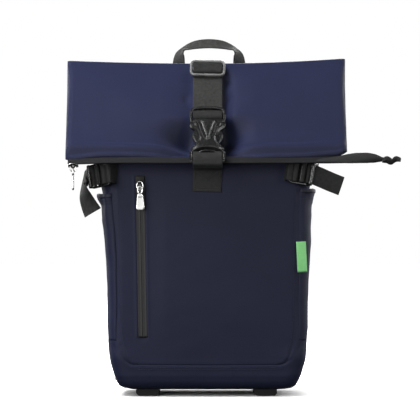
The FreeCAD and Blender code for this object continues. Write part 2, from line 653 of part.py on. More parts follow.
# ---------------------------------------------------------------------------
# Front pocket zip
# ---------------------------------------------------------------------------
lean = Rotation(Vector(0, 1, 0), -v("pocket_zip_lean"))
ZIP = Placement(Vector(-81.7, v("front_face"), v("pocket_zip_low")), lean)
pw = q("pocket_zip_wide") / 2
node(fuse("pz_chain", [box("pz_tape", (-pw, -1.7, 0), (pw, -0.2, q("pocket_zip_long")), ZIP),
                       box("pz_coil", (-2, -2.8, 2), (2, -1.6, q("pocket_zip_long") - 3), ZIP)]), "pocket_zip_chain")
node(box("pz_stop", (-pw + 0.5, -4.2, q("pocket_zip_long") - 2.6), (pw - 0.5, -1.8, q("pocket_zip_long") + 2.5), ZIP),
     "pocket_zip_stop")
zt = v("pocket_zip_long") - 6.5
s_plate = box("pz_plate", (-4.3, -5.6, zt - 14), (4.3, -3.2, zt), ZIP)
s_wing_l = box("pz_wing_l", (-4.3, -3.3, zt - 14), (-2.7, -2.0, zt), ZIP)
s_wing_r = box("pz_wing_r", (2.7, -3.3, zt - 14), (4.3, -2.0, zt), ZIP)
s_bail_o = box("pz_bail_o", (-1.5, -9.7, zt - 12), (1.5, -5.5, zt - 2), ZIP)
s_bail_i = box("pz_bail_i", (-2, -8.3, zt - 10.4), (2, -5.4, zt - 3.4), ZIP)
node(fuse("pz_slider", [s_plate, s_wing_l, s_wing_r, cut("pz_bail", s_bail_o, [s_bail_i])]), "pocket_zip_slider")
# pull: a tapered plate with an eye that hangs from the bail
eye_o = box("pz_eye_o", (-4.0, -7.7, zt - 13.5), (4.0, -5.9, zt - 4.6), ZIP)
eye_i = box("pz_eye_i", (-2.3, -9, zt - 13.0), (2.3, -5, zt - 6.2), ZIP)
pull_w = design("pz_pull_plate", "XZ_Plane",
                [(-4.0, zt - 12.9), (-5.0, zt - 34), (-4.0, zt - 37.5), (4.0, zt - 37.5), (5.0, zt - 34), (4.0, zt - 12.9)],
                1.8, ZIP.multiply(Placement(Vector(0, -5.9, 0), Rotation())))
node(fuse("pz_pull", [cut("pz_eye", eye_o, [eye_i]), pull_w]), "pocket_zip_pull")

# ---------------------------------------------------------------------------
# Side pockets with their hems, and the seam label
# ---------------------------------------------------------------------------
for side, sign in (("left", -1), ("right", 1)):
    a, b = q("side_face") * sign + 0.3 * sign, q("pocket_out") * sign
    y0, y1 = q("front_face") + 14, q("back_face") - 12
    if sign < 0:
        po = box("pocket_o_" + side, (b, y0, q("pocket_low")), (a, y1, q("pocket_top")))
        pi = box("pocket_i_" + side, (b + q("pocket_skin"), y0 + 2, q("pocket_low") + 3), (a + 1, y1 - 2, q("pocket_top") + 4))
        hem = box("hem_" + side, (b - 0.4, y0, q("pocket_top") + 0.2), (b + 2.2, y1, q("pocket_top") + 8))
    else:
        po = box("pocket_o_" + side, (a, y0, q("pocket_low")), (b, y1, q("pocket_top")))
        pi = box("pocket_i_" + side, (a - 1, y0 + 2, q("pocket_low") + 3), (b - q("pocket_skin"), y1 - 2, q("pocket_top") + 4))
        hem = box("hem_" + side, (b - 2.2, y0, q("pocket_top") + 0.2), (b + 0.4, y1, q("pocket_top") + 8))
    node(cut("pocket_" + side, po, [pi]), "side_pocket_" + side)
    node(hem, "side_pocket_hem_" + side)
LABEL = Placement(Vector(115.9, v("front_face") - 0.3, 199), Rotation(Vector(0, 1, 0), 2.0))
node(box("label", (0, -1.2, -38), (11, 0, 0), LABEL), "seam_label")

# ---------------------------------------------------------------------------
# Side compression straps: anchor, ladder lock, tail, and the run to the back
# ---------------------------------------------------------------------------


def ladder(name, frame):
    """A ladder lock: three bars across, x along the webbing, y across it, z out."""
    hl, hww, th = q("lock_long") / 2, q("lock_wide") / 2, q("lock_thick")
    o = box(name + "_o", (-hl, -hww, 0), (hl, hww, th), frame)
    o = soften(name + "_r", o, 2.0, along(frame.Rotation.multVec(Vector(0, 0, 1))))
    slots = [box(name + "_a", (-hl + 2.6, -q("side_web") / 2 - 0.5, -1), (-hl + 8.4, q("side_web") / 2 + 0.5, 9), frame),
             box(name + "_b", (-hl + 12.6, -q("side_web") / 2 - 0.5, -1), (-hl + 17.6, q("side_web") / 2 + 0.5, 9), frame),
             box(name + "_c", (-hl + 21.6, -q("side_web") / 2 - 0.5, -1), (hl - 3.4, q("side_web") / 2 + 0.5, 9), frame)]
    return cut(name, o, slots)


LOCK_R = Placement(Vector(120.5, -67.5, 288), Rotation(Vector(0, 0, 1), 14).multiply(
    Rotation(Vector(0, 1, 0), 9)).multiply(Rotation(Vector(1, 0, 0), 90)))
LOCK_L = Placement(Vector(-138.0, -62.0, 284.5), Rotation(Vector(0, 0, 1), 180 - 38).multiply(
    Rotation(Vector(0, 1, 0), 9)).multiply(Rotation(Vector(1, 0, 0), -90)))
lock_r = ladder("lock_r", LOCK_R)
lock_l = ladder("lock_l", LOCK_L)
node(lock_l, "ladder_lock_left")
node(lock_r, "ladder_lock_right")
side_t = 1.5


def lock_pt(frame, x, z):
    return frame.multVec(Vector(x, 0, z))


def lock_dir(frame, d):
    return frame.Rotation.multVec(Vector(*d))


hl = v("lock_long") / 2
# the anchors loop the locks' inner bars and are sewn into the front seams
for side, frame, seam in (("left", LOCK_L, Vector(-118.5, -63.4, 286.5)), ("right", LOCK_R, Vector(92.0, -63.6, 292.4))):
    across = lock_dir(frame, (0, 1, 0))
    outn = lock_dir(frame, (0, 0, 1))
    near = lock_pt(frame, -hl - 3.2, 2.5)
    anchor = webbing([(seam, across, outn), (near, across, outn)], v("side_web"), side_t)
    node(shaped("anchor_" + side, anchor), "side_anchor_" + side)

# tails: the right one flies out and down, the left one curls down
xr = lock_pt(LOCK_R, hl - 1.0, 7.2)
tail_r = [(lock_pt(LOCK_R, -hl + 10, 6.4), lock_dir(LOCK_R, (0, 1, 0)), lock_dir(LOCK_R, (0, 0, 1))),
          (xr, lock_dir(LOCK_R, (0, 1, 0)), lock_dir(LOCK_R, (0, 0, 1))),
          (Vector(152, -68.0, 279.2), (0.34, 0.1, 0.94), (0, -1, 0.1)),
          (Vector(172.5, -64.0, 270.8), (0.42, 0.15, 0.9), (0.2, -1, 0.1))]
node(shaped("tail_right", webbing(tail_r, v("side_web"), side_t)), "side_strap_tail_right")
xl = lock_pt(LOCK_L, hl - 1.0, 7.0)
tail_l = [(lock_pt(LOCK_L, -hl + 10, 6.2), lock_dir(LOCK_L, (0, 1, 0)), lock_dir(LOCK_L, (0, 0, 1))),
          (xl, lock_dir(LOCK_L, (0, 1, 0)), lock_dir(LOCK_L, (0, 0, 1))),
          (Vector(-158.0, -53.0, 279), (0.10, -0.5, -0.85), (-0.8, -0.6, 0.2)),
          (Vector(-157.0, -50.0, 262), (0.62, -0.72, -0.30), (-0.7, -0.6, 0.0)),
          (Vector(-153.0, -52.0, 244), (0.66, -0.75, 0.05), (-0.7, -0.6, 0.1)),
          (Vector(-149.5, -54.0, 231), (0.66, -0.75, 0.1), (-0.7, -0.6, 0.2))]
node(shaped("tail_left", webbing(tail_l, v("side_web"), side_t)), "side_strap_tail_left")

# runs along the bag's sides to the back seams
for side, sign, yz in (("left", -1, -44.0), ("right", 1, -50.0)):
    x0 = sign * (v("side_face") + 1.6)
    runs = [((x0, 47, 287), (0, 0.05, 1), (sign, 0, 0)),
            ((x0 + sign * 5.0, 10, 287), (0, 0, 1), (sign, 0, 0)),
            ((x0 + sign * 3.0, yz, 286), (0, -0.05, 1), (sign, 0, 0))]
    node(shaped("run_" + side, webbing(runs, v("side_web"), side_t)), "side_strap_" + side)

# ---------------------------------------------------------------------------
# Carry handle: webbing sewn flat at its feet, turned level at its crown
# ---------------------------------------------------------------------------
HX = 3.0
hh, zt_h = v("handle_half"), v("handle_top")
yh = v("back_face") + 3.2
arch = [(-hh - 1, 374, (1, 0, 0), (0, -1, 0)), (-hh - 1, 404, (1, 0, 0), (0, -1, 0)),
        (-hh, 430, (1, 0.1, 0.05), (0, -1, 0)), (-hh + 4.5, 447, (0.8, 0.6, 0.35), (-0.6, -0.6, 0.5)),
        (-hh + 14, 458, (0.3, 0.85, 0.1), (-0.5, -0.5, 0.8)), (-hh + 28, 462, (0.05, 0.8, -0.35), (-0.1, -0.5, 1)),
        (0, 462.5, (0, 0.8, -0.45), (0, -0.5, 1)),
        (hh - 28, 462, (0.05, -0.8, 0.35), (0.1, -0.5, 1)), (hh - 14, 458, (0.3, -0.85, -0.1), (0.5, -0.5, 0.8)),
        (hh - 4.5, 447, (0.8, -0.6, -0.35), (0.6, -0.6, 0.5)), (hh, 430, (1, -0.1, -0.05), (0, -1, 0)),
        (hh + 1, 404, (1, 0, 0), (0, -1, 0)), (hh + 1, 374, (1, 0, 0), (0, -1, 0))]
mid_i = len(arch) // 2
stations = []
for i, (x, z, w, n) in enumerate(arch):
    w = Vector(*w)
    if i >= mid_i and i != mid_i:
        # keep the width direction turning one way round the loop
        w = Vector(-w.x, -w.y, -w.z) if w.y < 0 else w
    stations.append((Vector(HX + x, yh, z), w, Vector(*n)))
fixed = []
prev = None
for c, w, n in stations:
    if prev is not None and w.dot(prev) < 0:
        w = w * -1
    prev = Vector(w)
    fixed.append((c, w, n))


def arch_solid(rows, width, thick_):
    """Handle webbing whose face keeps to one side along the whole loop."""
    out_rows = []
    last_n = None
    for k, (c, w, n) in enumerate(rows):
        a = rows[max(k - 1, 0)][0]
        b = rows[min(k + 1, len(rows) - 1)][0]
        t = (b - a)
        t.normalize()
        w2 = w - t * w.dot(t)
        w2.normalize()
        nn = t.cross(w2)
        if last_n is not None and nn.dot(last_n) < 0:
            nn = nn * -1
            w2 = w2 * -1
        last_n = Vector(nn)
        out_rows.append((c, w2, nn))
    return webbing(out_rows, width, thick_)


half_a = fixed[:mid_i + 1]
half_b = fixed[mid_i:]
node(shaped("handle", arch_solid(fixed, v("handle_web"), 2.2)), "carry_handle")

# ---------------------------------------------------------------------------
# Shoulder harness
# ---------------------------------------------------------------------------
lower_webs = []
for side, sign in (("left", -1), ("right", 1)):
    path = [(44, 73.5, 362), (45, 78, 352), (50, 86, 325), (58, 93, 285), (68, 95, 240), (78, 93, 195), (88, 88, 155), (93, 84, 132)]
    rows = []
    for k, (x, y, z) in enumerate(path):
        a = path[max(k - 1, 0)]
        b = path[min(k + 1, len(path) - 1)]
        t = Vector(sign * (b[0] - a[0]), b[1] - a[1], b[2] - a[2])
        t.normalize()
        across = Vector(1, 0, 0) - t * t.x
        across.normalize()
        rows.append((Vector(sign * x, y, z), across, t.cross(across)))
    node(shaped("shoulder_" + side, webbing(rows, v("harness_wide"), v("harness_thick"))), "shoulder_pad_" + side)
    lock_frame = Placement(Vector(sign * 97.0, 83, 110), Rotation(Vector(1, 0, 0), -90).multiply(Rotation(Vector(0, 0, 1), 90)))
    node(ladder("harness_lock_" + side, lock_frame), "harness_lock_" + side)
    # webbing from the lock down to its anchor wing near the base
    web = [((sign * 97.5, 78.5, 90), (1, 0, 0), (0, 1, 0)),
           ((sign * 99, 73, 72), (1, 0, 0.1 * sign), (0, 1, 0)),
           ((sign * 102, 65, 54), (1, 0, 0.15 * sign), (0, 1, 0.2)),
           ((sign * 104, 60.2, 40), (1, 0, 0.15 * sign), (0, 1, 0.1))]
    lower_webs.append(shaped("harness_web_" + side, webbing(web, v("side_web"), side_t)))
    tail = [((sign * 97.0, 90.8, 118), (1, 0, 0), (0, 1, 0)), ((sign * 97.0, 91.5, 96), (1, 0, 0), (0, 1, 0)),
            ((sign * 97.5, 93, 70), (1, 0, 0), (0, 1, 0.05)), ((sign * 98, 92, 42), (1, 0, 0), (0, 1, -0.05))]
    node(shaped("harness_tail_" + side, webbing(tail, v("side_web"), side_t)), "harness_tail_" + side)

group = doc.addObject("Part::Compound", "harness_group")
group.Links = lower_webs
node(group, "harness_lower_webbing")

# yoke: a sewn cover strip where the pads meet the back panel
node(box("yoke", (-82, q("back_face") + 0.3, 343), (82, q("back_face") + 8.5, 371)), "harness_yoke")

# ---------------------------------------------------------------------------
# Check and write
# ---------------------------------------------------------------------------
doc.recompute()
bad = [o.Name for o in doc.Objects if "Invalid" in o.State or "Error" in o.State]
if bad:
    raise RuntimeError("failed features: " + ", ".join(bad))
for o in NODES:
    sh = o.Shape
    if sh.isNull() or not sh.isValid() or not sh.Solids:
        raise RuntimeError("bad shape: " + o.Label)
    if sh.Volume <= 0:
        raise RuntimeError("inside out: " + o.Label)
print("ladder lock pivots", lock_pt(LOCK_L, -hl + 1.3, 2.5), lock_pt(LOCK_R, -hl + 1.3, 2.5))
print("mouth pull pivot", PIN)
print("pocket pull pivot", ZIP.multVec(Vector(0, -6.8, zt - 5.4)))
os.makedirs("parts", exist_ok=True)
for old in os.listdir("parts"):
    if old.endswith(".step"):
        os.remove(os.path.join("parts", old))
for o in NODES:
    o.Shape.exportStep(os.path.join("parts", o.Label + ".step"))
print("wrote %d nodes" % len(NODES))
for o in NODES:
    bb = o.Shape.BoundBox
    print("%-26s solids %d  x %7.1f %7.1f  y %7.1f %7.1f  z %7.1f %7.1f  vol %9.0f" % (
        o.Label, len(o.Shape.Solids), bb.XMin, bb.XMax, bb.YMin, bb.YMax, bb.ZMin, bb.ZMax, o.Shape.Volume))
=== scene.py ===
import bpy
import bmesh
import json
import math
import numpy as np
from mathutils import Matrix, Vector


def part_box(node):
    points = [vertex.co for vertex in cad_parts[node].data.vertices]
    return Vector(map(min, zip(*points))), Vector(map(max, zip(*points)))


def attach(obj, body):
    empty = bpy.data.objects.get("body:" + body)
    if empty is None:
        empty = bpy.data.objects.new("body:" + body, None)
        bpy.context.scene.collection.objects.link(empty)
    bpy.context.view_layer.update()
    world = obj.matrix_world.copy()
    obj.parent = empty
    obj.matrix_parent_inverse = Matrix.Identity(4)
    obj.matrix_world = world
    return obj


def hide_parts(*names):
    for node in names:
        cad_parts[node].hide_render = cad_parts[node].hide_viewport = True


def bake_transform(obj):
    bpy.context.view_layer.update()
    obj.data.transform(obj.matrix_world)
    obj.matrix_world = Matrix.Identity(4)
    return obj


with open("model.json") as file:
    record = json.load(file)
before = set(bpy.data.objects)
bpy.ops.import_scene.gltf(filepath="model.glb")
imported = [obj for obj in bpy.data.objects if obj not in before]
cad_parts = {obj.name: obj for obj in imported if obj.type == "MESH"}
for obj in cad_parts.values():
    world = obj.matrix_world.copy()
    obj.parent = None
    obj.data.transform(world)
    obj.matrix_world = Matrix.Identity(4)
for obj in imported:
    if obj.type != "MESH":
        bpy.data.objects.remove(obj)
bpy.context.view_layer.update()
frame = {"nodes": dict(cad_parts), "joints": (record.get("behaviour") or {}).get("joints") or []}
NODE = frame["nodes"]

# ---------------------------------------------------------------------------
# small maths
# ---------------------------------------------------------------------------
A = np.asarray


def smooth(a, b, x):
    t = np.clip((x - a) / (b - a), 0, 1)
    return t * t * (3 - 2 * t)


def bump(x, c, w):
    return np.exp(-((x - c) / w) ** 2)


def _hash(ix, iy, iz, seed):
    h = (ix.astype(np.int64) * 374761393 + iy.astype(np.int64) * 668265263 + iz.astype(np.int64) * 1274126177 + seed * 974711) & 0xFFFFFFFF
    h = ((h ^ (h >> 13)) * 1103515245) & 0xFFFFFFFF
    h = ((h ^ (h >> 16)) * 2246822519) & 0xFFFFFFFF
    return (h ^ (h >> 15)) & 0xFFFFFFFF


def noise(p, scale, seed=0):
    """Gradient noise of points in mm, about -1 to 1, feature size `scale` (a number or three)."""
    q = A(p, float) / A(scale, float)
    i = np.floor(q).astype(np.int64)
    f = q - i
    u = f * f * f * (f * (f * 6 - 15) + 10)
    out = 0
    for dx in (0, 1):
        for dy in (0, 1):
            for dz in (0, 1):
                h = _hash(i[..., 0] + dx, i[..., 1] + dy, i[..., 2] + dz, seed)
                a = (h & 0xFFFF) / 65535.0 * 2 * np.pi
                z = ((h >> 16) & 0xFFFF) / 65535.0 * 2 - 1
                r = np.sqrt(1 - z * z)
                g = (r * np.cos(a)) * (f[..., 0] - dx) + (r * np.sin(a)) * (f[..., 1] - dy) + z * (f[..., 2] - dz)
                w = (u[..., 0] if dx else 1 - u[..., 0]) * (u[..., 1] if dy else 1 - u[..., 1]) * (u[..., 2] if dz else 1 - u[..., 2])
                out = out + w * g
    return out * 1.5


def spline(pts, n):
    """Catmull-Rom through the points, n samples evenly spaced along it."""
    P = A(pts, float)
    P = np.vstack([2 * P[0] - P[1], P, 2 * P[-1] - P[-2]])
    out = []
    for k in range(1, len(P) - 2):
        t = np.linspace(0, 1, 24, endpoint=False)[:, None]
        a, b, c, d = P[k - 1], P[k], P[k + 1], P[k + 2]
        out.append(0.5 * ((2 * b) + (c - a) * t + (2 * a - 5 * b + 4 * c - d) * t ** 2 + (3 * b - a - 3 * c + d) * t ** 3))
    out.append(P[-2][None])
    C = np.vstack(out)
    L = np.r_[0, np.cumsum(np.linalg.norm(np.diff(C[:, :3], axis=0), axis=1))]
    s = np.linspace(0, L[-1], n)
    return np.stack([np.interp(s, L, C[:, k]) for k in range(C.shape[1])], 1)


def unit(a):
    return a / np.maximum(np.linalg.norm(a, axis=-1, keepdims=True), 1e-9)


FA = math.radians(51.1)
FO = A([0, 12.0, 428.0])
FY = A([0, math.cos(FA), math.sin(FA)])
FZ = A([0, -math.sin(FA), math.cos(FA)])


def fold(p):
    """Hanging roll top's frame (x right, y up along it, z outwards) to the row frame, mm."""
    p = A(p, float)
    return FO + p[..., :1] * A([1.0, 0, 0]) + p[..., 1:2] * FY + p[..., 2:3] * FZ


# ---------------------------------------------------------------------------
# materials
# ---------------------------------------------------------------------------


class Mat:
    def __init__(self, name, color, rough=0.6, metal=0.0, spec=0.5, sheen=0.0, sheen_rough=0.5, sheen_tint=(1, 1, 1), coat=0.0):
        self.m = bpy.data.materials.new(name)
        self.m.use_nodes = True
        self.t = self.m.node_tree
        self.b = self.t.nodes["Principled BSDF"]
        i = self.b.inputs
        i["Base Color"].default_value = (*color, 1)
        i["Roughness"].default_value = rough
        i["Metallic"].default_value = metal
        i["Specular IOR Level"].default_value = spec
        i["Sheen Weight"].default_value = sheen
        i["Sheen Roughness"].default_value = sheen_rough
        i["Sheen Tint"].default_value = (*sheen_tint, 1)
        i["Coat Weight"].default_value = coat
        self.color = color

    def n(self, kind, **kw):
        node = self.t.nodes.new(kind)
        for k, v in kw.items():
            if k in node.inputs.keys():
                node.inputs[k].default_value = v
            else:
                setattr(node, k, v)
        return node

    def link(self, a, b):
        self.t.links.new(a, b)

    def math(self, op, a, b=None, clamp=False):
        node = self.t.nodes.new("ShaderNodeMath")
        node.operation = op
        node.use_clamp = clamp
        for k, v in enumerate((a, b)):
            if v is None:
                continue
            if isinstance(v, (int, float)):
                node.inputs[k].default_value = v
            else:
                self.link(v, node.inputs[k])
        return node.outputs[0]

    def coords(self, uv=False):
        if uv:
            return self.n("ShaderNodeUVMap").outputs["UV"]
        return self.n("ShaderNodeTexCoord").outputs["Object"]

    def sep(self, vec):
        s = self.n("ShaderNodeSeparateXYZ")
        self.link(vec, s.inputs[0])
        return s.outputs

    def noise_tex(self, vec, scale, detail=3.0, rough=0.5):
        t = self.n("ShaderNodeTexNoise")
        t.inputs["Scale"].default_value = scale
        t.inputs["Detail"].default_value = detail
        t.inputs["Roughness"].default_value = rough
        self.link(vec, t.inputs["Vector"])
        return t.outputs["Fac"]

    def vary(self, fac, lo, hi):
        """Base colour between two multiples of the colour."""
        r = self.n("ShaderNodeMix", data_type="RGBA")
        self.link(fac, r.inputs[0])
        r.inputs[6].default_value = (*[c * lo for c in self.color], 1)
        r.inputs[7].default_value = (*[min(1, c * hi) for c in self.color], 1)
        return r.outputs[2]

    def bump(self, height, strength, dist, normal=None):
        b = self.n("ShaderNodeBump")
        b.inputs["Strength"].default_value = strength
        b.inputs["Distance"].default_value = dist
        self.link(height, b.inputs["Height"])
        if normal is not None:
            self.link(normal, b.inputs["Normal"])
        return b.outputs["Normal"]

    def to(self, socket, out):
        self.link(out, self.b.inputs[socket])

    def wave(self, x, period):
        """0..1 sine of a coordinate in metres with the given period."""
        s = self.math("SINE", self.math("MULTIPLY", x, 2 * math.pi / period))
        return self.math("MULTIPLY_ADD", s, 0.5) if False else self.math("ADD", self.math("MULTIPLY", s, 0.5), 0.5)


def cloth_material(name, color, weave=0.00075, rough=0.62, sheen=0.25, tint=(0.75, 0.8, 1.0), strength=0.25, spec=0.25, slub=0.12):
    """Tight plain weave: warp and weft ribs, slubs, slow colour drift, colour a little lighter on the weave's crests.
    """
    m = Mat(name, color, rough=rough, spec=spec, sheen=sheen, sheen_rough=0.45, sheen_tint=tint)
    co = m.coords()
    x, y, z = m.sep(co)
    diag = m.math("ADD", x, y)
    w1 = m.wave(diag, weave)
    w2 = m.wave(z, weave)
    weave_h = m.math("MAXIMUM", m.math("MULTIPLY", w1, m.math("SUBTRACT", 1.0, w2)), m.math("MULTIPLY", w2, m.math("SUBTRACT", 1.0, w1)))
    stretch = m.n("ShaderNodeMapping")
    stretch.inputs["Scale"].default_value = (60, 60, 900)
    m.link(co, stretch.inputs[0])
    slubs = m.noise_tex(stretch.outputs[0], 1.0, 2.0)
    drift = m.noise_tex(co, 9.0, 3.0, 0.55)
    fine = m.noise_tex(co, 420.0, 2.0)
    mix = m.math("ADD", m.math("MULTIPLY", drift, 0.62), m.math("MULTIPLY", slubs, slub * 2))
    mix = m.math("ADD", mix, m.math("MULTIPLY", m.math("SUBTRACT", weave_h, 0.5), 0.18), clamp=True)
    m.to("Base Color", m.vary(mix, 0.82, 1.28))
    m.to("Roughness", m.math("ADD", m.math("MULTIPLY", fine, 0.16), rough - 0.08))
    n1 = m.bump(weave_h, strength, 0.00012)
    n2 = m.bump(m.noise_tex(co, 55.0, 3.0), 0.06, 0.0012, n1)
    m.to("Normal", n2)
    return m.m


def web_material(name, color, rough=0.66, pitch=0.0014, sheen=0.12):
    """Ribbed webbing: a herringbone of fine cords. UVs are metres."""
    m = Mat(name, color, rough=rough, spec=0.22, sheen=sheen, sheen_rough=0.5)
    uv = m.coords(uv=True)
    u, v, _ = m.sep(uv)
    zig = m.math("PINGPONG", u, 0.0031)
    rib = m.wave(m.math("ADD", v, m.math("MULTIPLY", zig, 0.85)), pitch)
    cord = m.wave(u, 0.0011)
    h = m.math("ADD", m.math("MULTIPLY", rib, 0.7), m.math("MULTIPLY", cord, 0.3))
    drift = m.noise_tex(m.coords(), 70.0, 3.0)
    fleck = m.noise_tex(m.coords(), 300.0, 1.0)
    fac = m.math("ADD", m.math("MULTIPLY", h, 0.3), m.math("ADD", m.math("MULTIPLY", drift, 0.45), m.math("MULTIPLY", m.math("SUBTRACT", fleck, 0.3), 1.1)), clamp=True)
    m.to("Base Color", m.vary(fac, 0.3, 1.6))
    m.to("Roughness", m.math("ADD", m.math("MULTIPLY", drift, 0.2), rough - 0.1))
    m.to("Normal", m.bump(h, 0.55, 0.00028))
    return m.m


def plastic_material(name, color, rough=0.34):
    m = Mat(name, color, rough=rough, spec=0.5)
    co = m.coords()
    grain = m.noise_tex(co, 900.0, 2.0)
    scuff = m.noise_tex(co, 60.0, 4.0, 0.65)
    m.to("Base Color", m.vary(scuff, 0.8, 1.35))
    m.to("Roughness", m.math("ADD", m.math("MULTIPLY", scuff, 0.26), rough - 0.13))
    m.to("Normal", m.bump(grain, 0.12, 0.00006))
    return m.m


def metal_material(name, color=(0.82, 0.82, 0.83), rough=0.16):
    m = Mat(name, color, rough=rough, metal=1.0)
    co = m.coords()
    sc = m.n("ShaderNodeMapping")
    sc.inputs["Scale"].default_value = (500, 500, 60)
    m.link(co, sc.inputs[0])
    brush = m.noise_tex(sc.outputs[0], 1.0, 3.0)
    smudge = m.noise_tex(co, 120.0, 3.0)
    m.to("Base Color", m.vary(smudge, 0.88, 1.08))
    m.to("Roughness", m.math("ADD", m.math("MULTIPLY", smudge, 0.14), rough - 0.05))
    m.to("Normal", m.bump(brush, 0.05, 0.00005))
    return m.m


def tape_material(name, color, rough=0.42):
    """Coated zip tape: a fine knit under a matt film."""
    m = Mat(name, color, rough=rough, spec=0.2)
    uv = m.coords(uv=True)
    u, v, _ = m.sep(uv)
    knit = m.math("MULTIPLY", m.wave(u, 0.0011), m.wave(v, 0.0013))
    drift = m.noise_tex(m.coords(), 30.0, 3.0)
    m.to("Base Color", m.vary(m.math("ADD", m.math("MULTIPLY", drift, 0.7), m.math("MULTIPLY", knit, 0.3), clamp=True), 0.78, 1.3))
    m.to("Roughness", m.math("ADD", m.math("MULTIPLY", drift, 0.18), rough - 0.09))
    m.to("Normal", m.bump(knit, 0.18, 0.0001))
    return m.m


def mesh_material(name, color):
    """Spacer mesh: a honeycomb of small holes over foam."""
    m = Mat(name, color, rough=0.8, spec=0.2, sheen=0.2)
    co = m.coords()
    v = m.n("ShaderNodeTexVoronoi")
    v.feature = "DISTANCE_TO_EDGE"
    v.inputs["Scale"].default_value = 330.0
    v.inputs["Randomness"].default_value = 0.25
    m.link(co, v.inputs["Vector"])
    holes = m.math("SUBTRACT", 1.0, m.math("MULTIPLY", v.outputs["Distance"], 2.6, clamp=True))
    drift = m.noise_tex(co, 20.0, 3.0)
    m.to("Base Color", m.vary(m.math("ADD", m.math("MULTIPLY", holes, 0.75), m.math("MULTIPLY", drift, 0.25), clamp=True), 0.35, 1.5))
    m.to("Roughness", m.math("ADD", m.math("MULTIPLY", drift, 0.15), 0.72))
    m.to("Normal", m.bump(holes, 0.7, 0.0007))
    return m.m


def rubber_material(name, color):
    m = Mat(name, color, rough=0.75, spec=0.12)
    co = m.coords()
    peb = m.noise_tex(co, 700.0, 2.0)
    scuff = m.noise_tex(co, 45.0, 4.0, 0.7)
    m.to("Base Color", m.vary(scuff, 0.75, 1.6))
    m.to("Roughness", m.math("ADD", m.math("MULTIPLY", scuff, 0.25), 0.55))
    m.to("Normal", m.bump(peb, 0.3, 0.00015))
    return m.m


NAVY = cloth_material("navy_cloth", (0.0105, 0.0130, 0.0360), sheen=0.04, spec=0.16)
NAVY_DARK = cloth_material("navy_binding", (0.0088, 0.0105, 0.028), weave=0.001, sheen=0.06)
LINING = cloth_material("grey_lining", (0.09, 0.09, 0.1), weave=0.0009, sheen=0.1, tint=(1, 1, 1))
FOAM = cloth_material("foam_sheet", (0.2, 0.2, 0.21), weave=0.002, sheen=0.05, tint=(1, 1, 1))
GREEN = cloth_material("label_weave", (0.25, 0.69, 0.25), weave=0.0006, rough=0.45, sheen=0.1, tint=(1, 1, 1), strength=0.4)
# painted light and shade: one black webbing in lit and shaded copies, the lighter one for the closure strap's run over
# the lit top of the roll, the darker one painted shade for the strap's turn at the buckle, its wrap in the tri-glide
# and the anchor tab, and used for all other webbing but the handle's
WEB = web_material("black_webbing", (0.0190, 0.0188, 0.0183), sheen=0.04)
WEB_SHADED = web_material("black_webbing_shaded", (0.0125, 0.0130, 0.0125), sheen=0.04)
WEB_GREY = web_material("handle_webbing", (0.0245, 0.0245, 0.0240), pitch=0.0012, sheen=0.04)
PLASTIC = plastic_material("black_plastic", (0.010, 0.010, 0.0104), rough=0.27)
PLASTIC_GREY = plastic_material("grey_plastic", (0.11, 0.11, 0.11), rough=0.28)
METAL = metal_material("zip_metal", (0.54, 0.54, 0.53), rough=0.24)
TAPE = tape_material("zip_tape", (0.0268, 0.0269, 0.0277), rough=0.5)
TAPE_MID = tape_material("free_tape", (0.0205, 0.0206, 0.0212), rough=0.5)
METAL_DARK = metal_material("zip_metal_dark", (0.09, 0.09, 0.09), rough=0.3)
# painted shade: a darker copy of the zip tape for the mouth zip's chain and tape under the roll top's lower edge; the
# same zip's free end takes the lighter free_tape
TAPE_SHADED = tape_material("mouth_tape", (0.0105, 0.0107, 0.0122), rough=0.5)
MESH = mesh_material("air_mesh", (0.022, 0.022, 0.024))
RUBBER = rubber_material("foot_rubber", (0.0118, 0.0118, 0.0116))
THREAD = cloth_material("thread_navy", (0.0105, 0.013, 0.036), weave=0.0004, sheen=0.1)
THREAD_BLACK = cloth_material("thread_black", (0.034, 0.034, 0.034), weave=0.0004, sheen=0.1, tint=(1, 1, 1))

# ---------------------------------------------------------------------------
# mesh building, in millimetres
# ---------------------------------------------------------------------------


def make(name, verts, faces, mat, body=None, replaces=(), uv=None, flat=False):
    me = bpy.data.meshes.new(name)
    me.from_pydata((A(verts) * 0.001).tolist(), [], [tuple(int(i) for i in f) for f in faces])
    me.update()
    if uv is not None:
        lay = me.uv_layers.new(name="UVMap")
        idx = np.zeros(len(me.loops), np.int32)
        me.loops.foreach_get("vertex_index", idx)
        lay.data.foreach_set("uv", (A(uv)[idx] * 0.001).astype(np.float32).ravel())
    ob = bpy.data.objects.new(name, me)
    bpy.context.scene.collection.objects.link(ob)
    bm = bmesh.new()
    bm.from_mesh(me)
    bmesh.ops.recalc_face_normals(bm, faces=bm.faces)
    bm.to_mesh(me)
    bm.free()
    me.polygons.foreach_set("use_smooth", [not flat] * len(me.polygons))
    me.materials.append(mat)
    if body:
        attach(ob, body)
    if replaces:
        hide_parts(*replaces)
    return ob


def grid_faces(nu, nv, close_u=False, close_v=False, off=0):
    """Quads of a grid whose vertex number is u * nv + v."""
    fs = []
    for i in range(nu if close_u else nu - 1):
        a, b = i * nv, ((i + 1) % nu) * nv
        for j in range(nv if close_v else nv - 1):
            k = (j + 1) % nv
            fs.append((off + a + j, off + b + j, off + b + k, off + a + k))
    return fs


def cap(ring, off=0):
    """A grid-like fill of a closed ring of vertex numbers, two opposite sides zipped together."""
    ring = list(ring)
    n = len(ring)
    fs = []
    i, j = 0, n - 1
    while j - i > 2:
        fs.append((ring[i] + off, ring[i + 1] + off, ring[j - 1] + off, ring[j] + off))
        i, j = i + 1, j - 1
    if j - i == 2:
        fs.append((ring[i] + off, ring[i + 1] + off, ring[j] + off))
    return fs


